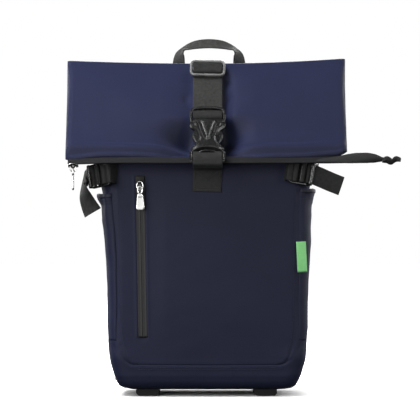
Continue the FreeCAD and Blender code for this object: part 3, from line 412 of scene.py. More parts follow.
def sweep(path, wdir, section, closed=False):
    """Sweep a closed section (across, out) along a path. wdir is the across direction at each point."""
    P = A(path, float)
    n = len(P)
    if closed:
        T = unit(np.roll(P, -1, 0) - np.roll(P, 1, 0))
    else:
        T = unit(np.gradient(P, axis=0))
    W = A(wdir, float)
    if W.ndim == 1:
        W = np.repeat(W[None], n, 0)
    W = unit(W - T * (W * T).sum(1, keepdims=True))
    N = np.cross(T, W)
    S = A(section, float)
    if S.ndim == 2:
        S = np.repeat(S[None], n, 0)
    V = P[:, None] + W[:, None] * S[..., :1] + N[:, None] * S[..., 1:2]
    m = S.shape[1]
    faces = grid_faces(n, m, close_u=closed, close_v=True)
    if not closed:
        faces += cap(range(m)) + cap([(n - 1) * m + k for k in range(m)][::-1])
    per = np.r_[0, np.cumsum(np.linalg.norm(np.diff(S[0], axis=0), axis=1))]
    L = np.r_[0, np.cumsum(np.linalg.norm(np.diff(P, axis=0), axis=1))]
    uv = np.stack(np.broadcast_arrays(S[..., 0], L[:, None]), -1).reshape(-1, 2)
    return V.reshape(-1, 3), faces, uv


def flat_section(width, thick, m=13, crown=0.0):
    """Webbing's cross-section: flat with rounded edges."""
    h = width / 2
    r = thick / 2
    x = np.linspace(-h + r, h - r, m)
    c = crown * (1 - (x / h) ** 2)
    top = np.stack([x, c + r], 1)
    right = np.array([[h - r * 0.3, r * 0.7], [h, 0], [h - r * 0.3, -r * 0.7]])
    bot = np.stack([x[::-1], c[::-1] - r], 1)
    left = np.array([[-h + r * 0.3, -r * 0.7], [-h, 0], [-h + r * 0.3, r * 0.7]])
    return np.vstack([top, right, bot, left])


def round_section(a, b, n=16, k=2.6):
    t = np.linspace(0, 2 * np.pi, n, endpoint=False)
    c, s = np.cos(t), np.sin(t)
    return np.stack([a * np.sign(c) * np.abs(c) ** (2 / k), b * np.sign(s) * np.abs(s) ** (2 / k)], 1)


def webbing(name, pts, wdirs, width, thick, mat, body=None, n=60, replaces=(), crown=0.0, ripple=0.0, seed=1):
    if A(wdirs).ndim == 2:
        PW = spline(np.hstack([A(pts, float), A(wdirs, float)]), n)
        P, W = PW[:, :3], PW[:, 3:]
    else:
        P, W = spline(pts, n), A(wdirs, float)
    if ripple:
        off = noise(P, 22, seed)[:, None] * ripple
        Wn = W if W.ndim == 2 else np.repeat(W[None], n, 0)
        T = unit(np.gradient(P, axis=0))
        fade = np.sin(np.linspace(0, np.pi, n))[:, None]
        P = P + np.cross(T, unit(Wn)) * off * fade
    V, F, uv = sweep(P, W, flat_section(width, thick, crown=crown))
    return make(name, V, F, mat, body, replaces, uv)


def loop_rect(w, h, r, n=10):
    """Rounded rectangle centre line in x, y."""
    out = []
    for cx, cy, a0 in ((w / 2 - r, h / 2 - r, 0), (-w / 2 + r, h / 2 - r, 90), (-w / 2 + r, -h / 2 + r, 180), (w / 2 - r, -h / 2 + r, 270)):
        for a in np.linspace(a0, a0 + 90, n):
            t = math.radians(a)
            out.append((cx + r * math.cos(t), cy + r * math.sin(t)))
    return A(out)


def join(parts):
    """Several (verts, faces[, uv]) as one."""
    V, F, U, o = [], [], [], 0
    for p in parts:
        V.append(A(p[0]))
        F += [tuple(i + o for i in f) for f in p[1]]
        U.append(A(p[2]) if len(p) > 2 and p[2] is not None else np.zeros((len(p[0]), 2)))
        o += len(p[0])
    return np.vstack(V), F, np.vstack(U)


def shaped_plate(rows, half, zf, zb, m=41, k=5.0, ends=2.5):
    """A moulded plate in local x, y, z: half(y) wide, front height zf(x, y), back zb(x, y), all its edges rounded."""
    a = np.sin(np.linspace(-np.pi / 2, np.pi / 2, m))
    ys = A(rows, float)
    V = []
    y0, y1 = ys[0], ys[-1]
    for y in ys:
        w = half(y)
        x = a * w
        e = np.clip(1 - np.abs(a) ** k, 0, 1) ** (1 / 2.2)
        d = min(abs(y - y0), abs(y - y1))
        en = math.sqrt(max(0.0, 1 - (1 - min(d / ends, 1)) ** 2)) if d < ends else 1.0
        f, b = zf(x, y), zb(x, y)
        mid = (zf(np.zeros(1), y)[0] + zb(np.zeros(1), y)[0]) / 2
        top = mid + (f - mid) * e * en
        bot = mid + (b - mid) * e * en
        V.append(np.concatenate([np.stack([x, np.full(m, y), top], 1), np.stack([x[::-1], np.full(m, y), bot[::-1]], 1)[1:-1]]))
    r = 2 * m - 2
    F = grid_faces(len(ys), r, close_v=True) + cap(range(r)) + cap([(len(ys) - 1) * r + k2 for k2 in range(r)][::-1])
    return np.vstack(V), F, None


STITCH = {}


def stitches(group, path, normal, pitch=3.3, length=2.3, radius=0.3, lift=0.1):
    """Thread stitches along a polyline in mm; they are gathered and built per group."""
    P = A(path, float)
    L = np.r_[0, np.cumsum(np.linalg.norm(np.diff(P, axis=0), axis=1))]
    N = A(normal, float)
    if N.ndim == 1:
        N = np.repeat(N[None], len(P), 0)
    s = np.arange(pitch / 2, L[-1] - pitch / 2, pitch)
    for c in s:
        a = A([np.interp(c - length / 2, L, P[:, k]) for k in range(3)])
        b = A([np.interp(c + length / 2, L, P[:, k]) for k in range(3)])
        n = unit(A([np.interp(c, L, N[:, k]) for k in range(3)]))
        STITCH.setdefault(group, []).append((a + n * lift, b + n * lift, n, radius))


def build_stitches():
    for (body, mat, name), items in STITCH.items():
        parts = []
        for a, b, n, r in items:
            t = unit(b - a)
            w = unit(np.cross(n, t))
            L = np.linalg.norm(b - a)
            rows = []
            for f, q in ((0, 0.25), (0.2, 0.9), (0.5, 1.0), (0.8, 0.9), (1, 0.25)):
                c = a + t * L * f + n * r * (1.0 if 0 < f < 1 else 0.0)
                for k in range(6):
                    al = k * np.pi / 3
                    rows.append(c + (w * math.cos(al) + n * math.sin(al)) * r * q)
            parts.append((A(rows), grid_faces(5, 6, close_v=True) + cap(range(6)) + cap(range(29, 23, -1))))
        V, F, _ = join(parts)
        make(name, V, F, mat, body)


# ---------------------------------------------------------------------------
# the bag's cloth shell: body and collar in one sheet
# ---------------------------------------------------------------------------
ZK = [8.5, 10, 13, 18, 27, 42, 58, 98, 136, 168, 200, 237, 262, 285, 300, 340, 380, 414, 428]
WK = [104, 111, 116.5, 120, 123.5, 126.5, 128, 129, 129.5, 130, 131, 132.5, 134, 138.5, 142.5, 151, 163.5, 175.5, 178]
FK = [-46, -52, -56.5, -59.5, -61.3, -62, -62.2, -62.6, -62.8, -62.8, -62.6, -62.3, -62, -61.5, -60.5, -36, -11, 6.8, 8]
BK = [48, 52, 55, 57, 58, 58.6, 58.6, 58.6, 58.6, 58.6, 58.6, 58.6, 58.6, 58.6, 58.6, 58.8, 54.5, 23.5, 19.0]
RK = [14, 16, 17, 18, 19, 20, 20, 20, 20, 20, 20, 20, 21, 22, 22, 20, 13, 5.0, 3.6]


WLZ = [7, 17, 28, 38, 49, 70, 91, 112, 133, 154, 175, 195, 216, 227, 245, 262, 285]
WLD = [-3.4, -4.2, -4.0, -3.0, -1.6, -1.0, -2.0, -2.9, -2.9, -2.6, -3.4, -2.9, -2.6, -1.8, -1.2, 0, 0]
WRZ = [7, 17, 28, 38, 49, 70, 91, 112, 133, 154, 175, 195, 216, 227, 237, 248, 262, 285]
WRD = [0, -2.0, -1.2, 0, 1.6, 1.6, 1.2, 0.5, 0.2, 0.5, 0.5, 0.3, -1.2, -1.8, -1.8, -1.8, -2.6, 0]


def prof(K, z):
    return np.interp(z, ZK, K)


SEG = [("front", 150), ("fr", 14), ("right", 46), ("br", 12), ("back", 84), ("bl", 12), ("left", 46), ("fl", 14)]


def ring(z):
    """One closed ring at each height: positions, outward normals in plan, and a tag of the side."""
    w, f, b, r = (prof(K, z) for K in (WK, FK, BK, RK))
    wl, wr = w + np.interp(z, WLZ, WLD), w + np.interp(z, WRZ, WRD)
    r = np.minimum(r, (b - f) / 2 - 0.2)
    out, nor = [], []

    def line(p0, p1, n, nv):
        for t in np.linspace(0, 1, n, endpoint=False):
            out.append([p0[0] + (p1[0] - p0[0]) * t, p0[1] + (p1[1] - p0[1]) * t])
            nor.append(nv)

    def arc(cx, cy, a0, a1, n):
        for a in np.linspace(a0, a1, n, endpoint=False):
            out.append([cx + r * math.cos(a), cy + r * math.sin(a)])
            nor.append([math.cos(a), math.sin(a)])
    H = np.pi / 2
    line((-wl + r, f), (wr - r, f), SEG[0][1], [0, -1])
    arc(wr - r, f + r, -H, 0, SEG[1][1])
    line((wr, f + r), (wr, b - r), SEG[2][1], [1, 0])
    arc(wr - r, b - r, 0, H, SEG[3][1])
    line((wr - r, b), (-wl + r, b), SEG[4][1], [0, 1])
    arc(-wl + r, b - r, H, 2 * H, SEG[5][1])
    line((-wl, b - r), (-wl, f + r), SEG[6][1], [-1, 0])
    arc(-wl + r, f + r, 2 * H, 3 * H, SEG[7][1])
    return A(out), A(nor)


def poly_dist(px, pz, line):
    """Distance in x, z from points to a polyline."""
    best = np.full(px.shape, 1e9)
    L = A(line, float)
    for (ax, az), (bx, bz) in zip(L[:-1], L[1:]):
        dx, dz = bx - ax, bz - az
        t = np.clip(((px - ax) * dx + (pz - az) * dz) / (dx * dx + dz * dz), 0, 1)
        best = np.minimum(best, np.hypot(px - ax - t * dx, pz - az - t * dz))
    return best


def curve2(pts, n=60):
    return spline(A(pts, float), n)


# seams on the front, x and z
SEAM_L = curve2([(-119.5, 302), (-117.5, 250), (-116.3, 180), (-115.5, 120), (-112.5, 82), (-106, 55), (-99, 43), (-90, 41)])
SEAM_R = curve2([(119.5, 302), (117.5, 250), (116.3, 180), (116, 120), (114, 82), (108, 57), (101, 44), (92, 41)])
SEAM_B = A([(-92, 41.2), (0, 40.6), (94, 41.2)])
SEAM_SL = curve2([(-97, 42), (-106, 48), (-116, 60), (-127, 75)])
SEAM_SR = curve2([(99, 42), (108, 48), (117, 60), (128, 75)])


def shell_points(z_rows):
    base, nors = [], []
    for z in z_rows:
        p, n = ring(z)
        base.append(np.column_stack([p, np.full(len(p), z)]))
        nors.append(np.column_stack([n, np.zeros(len(n))]))
    return A(base), A(nors)


zr = np.concatenate([[8.5, 9.0, 10.0, 11.5, 13.0, 15.0, 17.5], np.arange(20, 35, 1.7), np.arange(35, 47, 0.5), np.arange(47, 71, 1.7), np.arange(71, 79, 0.6), np.arange(79, 300, 2.3), np.linspace(300, 428, 54)])
P, N = shell_points(zr)
X, Y, Z = P[..., 0], P[..., 1], P[..., 2]
front = smooth(0.3, 0.9, -N[..., 1])
side = smooth(0.3, 0.9, np.abs(N[..., 0]))
back = smooth(0.3, 0.9, N[..., 1])
D = np.zeros_like(X)
# a gentle crown on the front panel, flat under the pocket zip
crown = (1 - (X / 118) ** 2).clip(0, 1) * smooth(22, 120, Z) * (1 - smooth(235, 300, Z))
away = smooth(8, 34, np.abs(X + 83.5))
D += front * crown * 3.0 * (0.25 + 0.75 * away)
# broad soft buckling
D += 0.6 * noise(P, (70, 70, 55), 3) * (0.35 + 0.65 * (1 - front * 0.5)) * (0.3 + 0.7 * away)
D += 0.22 * noise(P, (26, 26, 20), 5) * (0.25 + 0.75 * away)
# cloth sags in faint diagonals from the upper left and near the base
diag = np.stack([X * 0.9 + Z * 0.45, Y, Z * 0.9 - X * 0.45], -1)
D += front * 0.18 * noise(diag, (120, 60, 20), 9) * smooth(41, 70, Z) * away
D += front * 1.1 * bump(Z, 52, 9) * smooth(70, 112, np.abs(X)) * np.sign(1) * 0.8
# seams: a groove with a soft ridge beside it
for line, wdt, dep in ((SEAM_L, 1.0, 0.75), (SEAM_R, 1.0, 0.75), (SEAM_B, 0.8, 0.45), (SEAM_SL, 1.0, 0.5), (SEAM_SR, 1.0, 0.5)):
    dd = poly_dist(X, Z, line)
    on = (N[..., 1] < -0.05).astype(float) * (0.35 + 0.65 * np.abs(N[..., 1]))
    D -= on * dep * np.exp(-(dd / wdt) ** 2)
    D += on * 0.10 * np.exp(-((dd - 4.2) / 2.6) ** 2)
# the boot's seam runs on round the sides
on = side
D -= on * 0.7 * bump(Z, 75, 1.2)
D += on * 0.3 * (bump(Z, 79, 2.4) + bump(Z, 71, 2.4))
# welts on both sides of the pocket zip, and a pit above its end
zipx = -81.7 - 0.01833 * (Z - 78)
zin = smooth(74, 78, Z) * (1 - smooth(281, 285, Z))
D -= front * zin * 1.1 * (1 - smooth(4.6, 6.0, np.abs(X - zipx)))
D += front * zin * 0.55 * bump(np.abs(X - zipx), 7.4, 1.3)
D -= front * 0.7 * bump(np.hypot(X - zipx, Z - 75.5), 0, 5)
# sides: vertical slack folds over the pockets' mouths
D += side * 0.8 * noise(P, (20, 16, 90), 11) * smooth(230, 270, Z)
# the collar: slack cloth pulled towards the fold
fold_n = noise(np.stack([X, Y * 0.4, Z * 0.35], -1), (26, 40, 60), 13)
D += (front + back * 0.8) * smooth(302, 330, Z) * (1 - smooth(398, 414, Z)) * 2.4 * fold_n
D += back * smooth(300, 330, Z) * (1 - smooth(372, 385, Z)) * 0.8
P = P + N * D[..., None]
# the mouth's front edge tucks under the rolled edge, its back edge rises to it
topf = smooth(396, 428, zr)[:, None]
P[..., 2] -= topf * np.where(N[..., 1] < 0, 7.5, 1.0)
# base: close underneath with a flat panel
nr = P.shape[1]
V = P.reshape(-1, 3)
F = grid_faces(len(zr), nr, close_v=True)
rings_in = []
cen = P[0].mean(0)
off = len(V)
inner = []
for k, t in enumerate((0.93, 0.85, 0.7, 0.5, 0.25)):
    q_ = cen + (P[0] - cen) * t
    q_[:, 2] = 8.9 + 0.0 * t
    inner.append(q_)
V = np.vstack([V] + inner)
prev = list(range(nr))
for k in range(len(inner)):
    cur = [off + k * nr + i for i in range(nr)]
    for i in range(nr):
        j = (i + 1) % nr
        F.append((prev[j], prev[i], cur[i], cur[j]))
    prev = cur
V = np.vstack([V, [[cen[0], cen[1], 8.9]]])
F += [(prev[(i + 1) % nr], prev[i], len(V) - 1) for i in range(nr)]
SHELL = P
shell = make("bag_shell", V, F, NAVY, "bag", ("front_panel", "side_panel_left", "side_panel_right", "boot_walls", "base_panel",
                                             "collar_front", "collar_back", "collar_gusset_left", "collar_gusset_right", "back_panel"))


def on_front(x, z, lift=0.0):
    """Point of the shell's front at x, z."""
    x, z = np.atleast_1d(A(x, float)), np.atleast_1d(A(z, float))
    out = []
    fr = SHELL[:, :SEG[0][1] + SEG[1][1]]
    fl = SHELL[:, -SEG[7][1]:]
    allc = np.concatenate([fl, fr], 1)
    for a, b in zip(x, z):
        k = int(np.argmin(np.abs(zr - b)))
        row = allc[k]
        out.append([a, np.interp(a, row[:, 0], row[:, 1]) - lift, b])
    return A(out)


# seam stitching on the front: a row each side of the boot's seam and along the side seams
for dz in (3.0, 5.6):
    xs = np.linspace(-88, 90, 120)
    stitches(("bag", THREAD, "stitching_shell"), on_front(xs, np.full(120, 41 - dz), 0.0), (0, -1, 0), pitch=3.0, length=2.1, radius=0.26)
for line, sg in ((SEAM_L, 1), (SEAM_R, -1)):
    keep = A([q_ for q_ in line if 48 < q_[1] < 296])
    stitches(("bag", THREAD, "stitching_shell"), on_front(keep[:, 0] + sg * 4.0, keep[:, 1], 0.0), (0, -1, 0), pitch=3.0, length=2.1, radius=0.26)

# ---------------------------------------------------------------------------
# side pockets: a sheet from the front seam round the side, elastic at its mouth
# ---------------------------------------------------------------------------
n0 = SEG[0][1]
for name, sgn in (("right", 1), ("left", -1)):
    ztop = 266.0 if sgn > 0 else 259.0
    rows = np.concatenate([np.arange(72, 225, 3.0), np.linspace(225, ztop, 30)])
    # ring columns from the front seam to the back corner
    if sgn > 0:
        cols = list(range(n0 + 4, n0 + SEG[1][1] + SEG[2][1] + 4))
    else:
        tot = sum(s for _, s in SEG)
        cols = list(range(tot - SEG[7][1] - SEG[6][1] - 4, tot - 3))
        cols = cols[::-1]
    pts = []
    for z in rows:
        p, n = ring(z)
        pts.append(np.column_stack([p[cols], np.full(len(cols), z)]))
    PP = A(pts)
    NN = A([ring(z)[1][cols] for z in rows])
    m = PP.shape[1]
    t = np.linspace(0, 1, m)[None, :]
    zz = rows[:, None]
    lens = np.sin(np.pi * np.clip(t, 0, 1)) ** 0.55
    gap = np.interp(zz, [72, 90, 140, 170, 200, 236, 246, ztop - 6, ztop], [0.2, 0.9, 1.6, 2.9, 4.6, 5.2, 4.6, 6.8, 6.2])
    gather = noise(PP, (8, 8, 55), 21) * smooth(ztop - 60, ztop - 6, zz) * 2.6
    slack = noise(PP, (34, 34, 26), 23) * 0.9
    OFF = 0.25 + 0.5 * smooth(0, 0.05, t) + gap * lens + (gather + slack) * lens
    OFF *= smooth(70, 92, zz) * 0.95 + 0.05
    OFF += noise(PP, (6.5, 6.5, 48), 27) * 1.7 * smooth(0.01, 0.06, t) * smooth(ztop - 66, ztop - 14, zz)
    # a crease below the hem
    OFF -= 2.0 * bump(zz, ztop - 24, 5.5) * smooth(0.1, 0.5, t)
    OFF += 1.2 * bump(zz, ztop - 4, 3.5) * lens
    N3 = np.concatenate([NN, np.zeros(NN.shape[:2] + (1,))], 2)
    outer = PP + N3 * OFF[..., None]
    outer[..., 2] += (noise(PP, (16, 16, 400), 25) * 1.4 * smooth(ztop - 12, ztop, zz)) + 0
    inner_ = outer - N3 * 1.3
    allp = np.concatenate([outer.reshape(-1, 3), inner_.reshape(-1, 3)])
    k = outer.shape[0] * m
    Fp = grid_faces(len(rows), m)
    Fi = [tuple(i + k for i in f[::-1]) for f in grid_faces(len(rows), m)]
    rim = [r_ * m for r_ in range(len(rows))]
    edge = [j for j in range(m)] + [r_ * m + m - 1 for r_ in range(1, len(rows))] + [(len(rows) - 1) * m + j for j in range(m - 2, -1, -1)] + [r_ * m for r_ in range(len(rows) - 2, 0, -1)]
    Fe = [(edge[i], edge[(i + 1) % len(edge)], edge[(i + 1) % len(edge)] + k, edge[i] + k) for i in range(len(edge))]
    make("pocket_cloth_" + name, allp, Fp + Fi + Fe, NAVY, "bag", ("side_pocket_" + name,))
    # hem: a rolled binding along the mouth
    top = outer[-1].copy()
    top[:, 2] -= 1.0
    nrm = N3[-1]
    V, F, uv = sweep(top + nrm * 0.0, np.cross(unit(np.gradient(top, axis=0)), nrm), round_section(3.0, 1.5, 14))
    make("pocket_hem_" + name, V, F, NAVY_DARK, "bag", ("side_pocket_hem_" + name,))
    row = outer[-9]
    stitches(("bag", THREAD, "stitching_shell"), row, N3[-9], pitch=3.0, length=2.0, radius=0.26)

# ---------------------------------------------------------------------------
# roll top
# ---------------------------------------------------------------------------


def flap_field(x, s):
    """How far the outer face stands off its plane, mm, at x and s (distance down from the fold)."""
    u = np.abs(x - 1.5)
    right = smooth(0, 30, x)
    press = smooth(17, 62, u)
    d = 4.2 * press * np.sin(np.pi * np.clip((s - 4) / 112, 0, 1)) ** 1.1
    vc = 124 - 7 * right
    d -= (5.0 + 1.2 * right) * np.exp(-((s - vc) / 13.5) ** 2) * np.exp(-((u / (78 - 22 * right)) ** 2.2))
    d += 1.6 * np.exp(-((s - 141) / 8) ** 2) * smooth(26, 60, u)
    d += 1.6 * np.exp(-((s - 96) / 12) ** 2) * np.exp(-((u - 42) / 26) ** 2)
    d -= 2.2 * np.exp(-((u - 23) / 9) ** 2) * smooth(8, 30, s) * (1 - smooth(86, 110, s))
    # cloth pinched in hard beside the buckle, two smaller tucks higher up beside the strap
    xl, xr = x + 23.0, x - 26.0
    d -= 21.0 * np.exp(-np.abs(xl / np.where(xl < 0, 25.0, 16.0)) ** 1.8) * smooth(92, 128, s) * (1 - 0.42 * smooth(128, 156, s + 0.10 * np.abs(xl)))
    d -= 22.0 * np.exp(-np.abs(xr / np.where(xr > 0, 20.0, 16.0)) ** 1.8) * smooth(86, 120, s) * (1 - 0.42 * smooth(126, 154, s + 0.10 * np.abs(xr)))
    d -= 4.0 * np.exp(-((x - 24.5) / 8.0) ** 2) * smooth(12, 30, s) * (1 - smooth(100, 118, s))
    d -= 2.2 * np.exp(-((x + 27.0) / 5.0) ** 2 - ((s - 61) / 9) ** 2)
    d -= 2.6 * np.exp(-((x - 29.5) / 5.0) ** 2 - ((s - 57.5) / 9) ** 2)
    # the lower edge rolls under
    d -= 5.5 * smooth(140, 158, s) ** 1.3
    # long shallow wave above the zip
    d -= 1.5 * np.exp(-((s - 137 + 0.03 * u) / 4.5) ** 2) * smooth(30, 70, u) * (1 - smooth(120, 168, u))
    p = np.stack([x, s, np.zeros_like(x)], -1)
    d += 1.3 * noise(p, (74, 60, 50), 31) * smooth(6, 40, s)
    d += 0.45 * noise(p, (24, 30, 50), 33) * smooth(10, 60, s) * (0.5 + 0.5 * press)
    # tension lines that fan out from the buckle
    ang = np.arctan2(s - 112, u + 6)
    rad = np.hypot(s - 112, u)
    d += 0.9 * np.sin(ang * 9 + 0.6) * bump(rad, 46, 22) * press
    return d


hw = 182.0
xs = np.concatenate([[-hw, -hw + 0.6, -hw + 1.6, -hw + 3.2], np.linspace(-hw + 6, hw - 6, 150), [hw - 3.2, hw - 1.6, hw - 0.6, hw]])
rows_f = []
for x in xs:
    e = hw - abs(x)
    thin = math.sqrt(1 - (1 - min(e / 7, 1)) ** 2) * 0.86 + 0.14
    droop = 3.6 * float(smooth(0, 1, A((-x - 128) / 54))) - 2.0 * float(smooth(0, 1, A((x - 120) / 62)))
    sag = -0.4 * (1 - (x / hw) ** 2) + (6.4 if x > 0 else 3.4) * abs(x / hw) ** 2.0
    send = 157.0 + droop + 1.0 * math.sin(x * 0.021 + 1) - 6.5 * max(0.0, (x - 166) / 16) ** 2
    ring_pts = []
    r = 6.0
    inner_z = -3.0
    # crest from behind the fold over to the outer face
    for a in np.linspace(-60, 90, 13):
        t_ = math.radians(a)
        ring_pts.append((-0.0 + 5.9 * math.cos(t_) * (1 if True else 0), 5.9 * math.sin(t_)))
    outer_s = np.concatenate([np.linspace(2, send - 6, 84)])
    for s in outer_s:
        z = 6.2 + float(flap_field(A([x]), A([s]))[0]) * smooth(0, 16, s) * thin
        ring_pts.append((-s, z))
    # rolled lower edge
    zo = ring_pts[-1][1]
    zc, rr = (zo + inner_z) / 2, (zo - inner_z) / 2
    for a in np.linspace(80, -90, 12):
        t_ = math.radians(a)
        ring_pts.append((-(send - 6) - 6 * math.cos(t_), zc + rr * math.sin(t_)))
    for s in np.linspace(send - 12, 8, 34):
        z = inner_z + 0.8 * float(noise(A([[x, s, 0.0]]), (60, 50, 50), 41)[0])
        z = min(z, 6.2 + float(flap_field(A([x]), A([s]))[0]) - 4.0)
        ring_pts.append((-s, z))
    rp = A(ring_pts)
    mid_ = 1.6
    rp[:, 1] = mid_ + (rp[:, 1] - mid_) * thin
    xx = x
    # side edges are not quite straight
    sd = -rp[:, 0]
    xx = x * (np.interp(sd, [0, 60, 115, 150], [183.4, 181.4, 179.2, 179.6]) if x < 0 else np.interp(sd, [0, 60, 115, 150], [182.6, 180.0, 178.8, 179.4])) / 182.0
    xx = xx + np.sign(x) * (0.5 * np.sin(rp[:, 0] * 0.045) + 0.6 * noise(np.stack([rp[:, 0] * 0 + 50, rp[:, 0], rp[:, 0] * 0], 1), (30, 18, 30), 43)) * smooth(150, hw, abs(x))
    loc = np.column_stack([np.full(len(rp), 1.0) * xx, rp[:, 0], rp[:, 1]])
    w = fold(loc)
    w[:, 2] += sag * smooth(110, 0, -rp[:, 0])
    rows_f.append(w)
FL = A(rows_f)
nx, ns = FL.shape[:2]
Ff = grid_faces(nx, ns, close_v=True) + cap(range(ns)) + cap([(nx - 1) * ns + k for k in range(ns)][::-1])
flap = make("roll_top_cloth", FL.reshape(-1, 3), Ff, NAVY, "roll_top", ("roll_top_flap",))


def on_flap(x, s, lift=0.0):
    x, s = np.broadcast_arrays(A(x, float), A(s, float))
    z = 6.2 + flap_field(x, s) * smooth(0, 16, s) + lift
    return fold(np.stack([x, -s, z], -1))


# ---------------------------------------------------------------------------
# mouth zip
# ---------------------------------------------------------------------------
zx = np.linspace(-176, 186, 120)
low = 160.3 - 0.6 * smooth(60, 180, zx) + 1.6 * (1 - smooth(-176, -120, zx))
cen = fold(np.stack([zx, -low, np.full_like(zx, 0.5)], -1))
cen[:, 2] += 0.4 * np.sin(zx * 0.05)
msec = A([flat_section(w_, 1.2, 15) for w_ in np.interp(zx, [-176, -150, 120, 176], [8.0, 9.5, 9.5, 12.5])])
V, F, uv = sweep(cen, np.repeat(FY[None], len(zx), 0), msec)
make("mouth_tape", V, F, TAPE_SHADED, "roll_top", ("mouth_zip_chain",), uv)
# the chain's rib along the lower edge
cen2 = fold(np.stack([zx[:-4], -(low[:-4] + 4.2), np.full_like(zx[:-4], 0.5)], -1))
V, F, uv = sweep(cen2, np.repeat(FY[None], len(cen2), 0), round_section(1.5, 1.35, 12))
make("mouth_coil", V, F, TAPE_SHADED, "roll_top", (), uv)
# free end past the right edge, widening as both tape halves open out
pt = [(138, -89.9, 301.6), (158, -89.7, 303.0), (174, -89.2, 304.6), (186, -88.4, 305.8), (203, -89.5, 306.2), (214, -90.3, 305.4), (223, -90.3, 304.2), (230, -89.8, 303.4)]
P_ = spline(pt, 60)
wid = np.interp(P_[:, 0], [138, 160, 176, 188, 204, 214, 222, 230], [6.5, 9.5, 12.2, 13.6, 13.4, 11.2, 6.5, 3.6])
Wd = np.stack([np.zeros(60), np.interp(P_[:, 0], [138, 176, 190, 206, 216, 230], [0.7, 0.5, 0.2, 0.0, -0.2, -0.45]), np.ones(60)], 1)
sec = A([flat_section(w_, 1.0, 15, crown=1.6 * (w_ / 14)) for w_ in wid])
V, F, uv = sweep(P_, Wd, sec)
make("mouth_free_tape", V, F, TAPE_MID, "roll_top", ("mouth_zip_free_end",), uv)
# crumpled end tab: a folded scrap of webbing
tabp = []
for k, (yo, zo, ph) in enumerate(((-1.4, 0.8, 0.0), (1.2, -0.8, 1.3))):
    c = spline([(223, -89.6 + yo * 0.4, 302.4 + zo), (229, -90.2 + yo, 303.6 + zo * 2.2), (235, -89.0 + yo, 301.0 + zo * 1.4), (240.5, -89.4 + yo, 304.4 + zo), (246.5, -89.0 + yo * 0.5, 303.6)], 34)
    wv = spline([(0, 0.9, 0.5), (0, 0.2, 1), (0.2, -0.7, 0.9), (0.1, 0.3, 1), (0, 0.6, 0.9)], 34)
    tabp.append(sweep(c, wv, flat_section(6.4 - k, 1.2, 11, crown=0.8)))
V, F, uv = join(tabp)
make("mouth_end_tab", V, F, WEB_SHADED, "roll_top", ("mouth_zip_end_tab",), uv)


def slider_parts(to_world, L=13.0, W=9.0, H=3.2):
    """A zip slider's body in local x (across), y (along), z (out): shoulders and a waist."""
    half = lambda y: 0.5 * W * (0.80 + 0.20 * math.cos((y / L) * 2 * math.pi * 0.9 + 0.4))
    zf = lambda x, y: np.full_like(x, H) + 0.5 * (1 - (x / (W / 2)) ** 2)
    zb = lambda x, y: np.full_like(x, 0.0)
    V_, F_, _ = shaped_plate(np.linspace(-L / 2, L / 2, 26), half, zf, zb, m=17, k=4, ends=2.6)
    return to_world(V_), F_, None


def ring_tube(path, radius, n=10, closed=True, ref=(0, 0, 1)):
    P_ = A(path, float)
    W_ = np.repeat(A([ref], float), len(P_), 0)
    return sweep(P_, W_, round_section(radius, radius, n, 2.0), closed=closed)


# mouth slider, facing down, and its pull seen edge-on
lo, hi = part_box("mouth_zip_slider")
SX = (lo.x + hi.x) * 500
piv = A([j for j in frame["joints"] if j["name"] == "mouth_pull_swing"][0]["pos_m"]) * 1000


def mouth_local(v):
    # local x across the chain (front-back), y along X, z downwards
    v = A(v)
    base = fold(A([SX, -168.5, 0.4]))
    return base + v[:, :1] * FZ + v[:, 1:2] * A([1.0, 0, 0]) + v[:, 2:3] * (-FY)


body_ = slider_parts(mouth_local, 13.5, 9.5, 1.9)
up_ = slider_parts(lambda v: mouth_local(A(v) * A([1, 1, 1]) + A([0, 0, -7.0])), 12.0, 8.5, 1.6)
neck = sweep(mouth_local(A([(0, -4.0, -6.0), (0, -4.0, -3.0), (0, -4.0, 0.5)])), np.repeat(FZ[None], 3, 0), round_section(1.3, 1.3, 10))
bail_path = [piv + A([3.4 * math.cos(a), 0, 3.6 * math.sin(a) + 0.6]) for a in np.linspace(-np.pi, 0, 14)] + [piv + A([3.4, 0, 4.6]), piv + A([1.2, 0, 6.2]), piv + A([-1.2, 0, 6.2]), piv + A([-3.4, 0, 4.6])]
bail = ring_tube(bail_path, 0.75, 8, True, (0, 1, 0))
V, F, _ = join([body_, neck, bail])
make("mouth_slider_metal", V, F, METAL, "mouth_slider", ("mouth_zip_slider",))


def pull_parts(L=30.0, w0=7.6, w1=10.2, th=1.7, eye=True):
    """A pull: tapered plate, round end, an eye at its top. Local x across, y down from the pivot, z through."""
    y0, y1 = 7.6, L
    half = lambda y: 0.5 * np.interp(y, [y0, y0 + 2.5, y1 - 5, y1 - 2.4, y1 - 0.9, y1], [w0 * 0.86, w0, w1, w1 * 0.97, w1 * 0.84, w1 * 0.55])
    rim = lambda x, y: 0.0
    zf = lambda x, y: th / 2 - 0.22 * (np.clip(1 - (x / (0.36 * w1)) ** 4, 0, 1) * float(smooth(y0 + 4, y0 + 6, A(y))) * float(1 - smooth(y1 - 5, y1 - 3, A(y)))) + 0 * x
    zb = lambda x, y: -th / 2 + 0 * x
    plate = shaped_plate(np.concatenate([np.linspace(y0, y1 - 6, 20), np.linspace(y1 - 5.5, y1, 14)]), half, zf, zb, m=25, k=8, ends=0.8)
    t_ = np.linspace(0, 2 * np.pi, 30, endpoint=False)
    ring_ = np.stack([(w0 * 0.5 - 0.9) * np.cos(t_), 3.7 + 4.6 * np.sin(t_), 0 * t_], 1)
    eye_ = sweep(ring_, np.repeat(A([[0, 0, 1.0]]), 30, 0), round_section(th / 2, 1.05, 12, 3), closed=True)
    return join([plate, eye_])


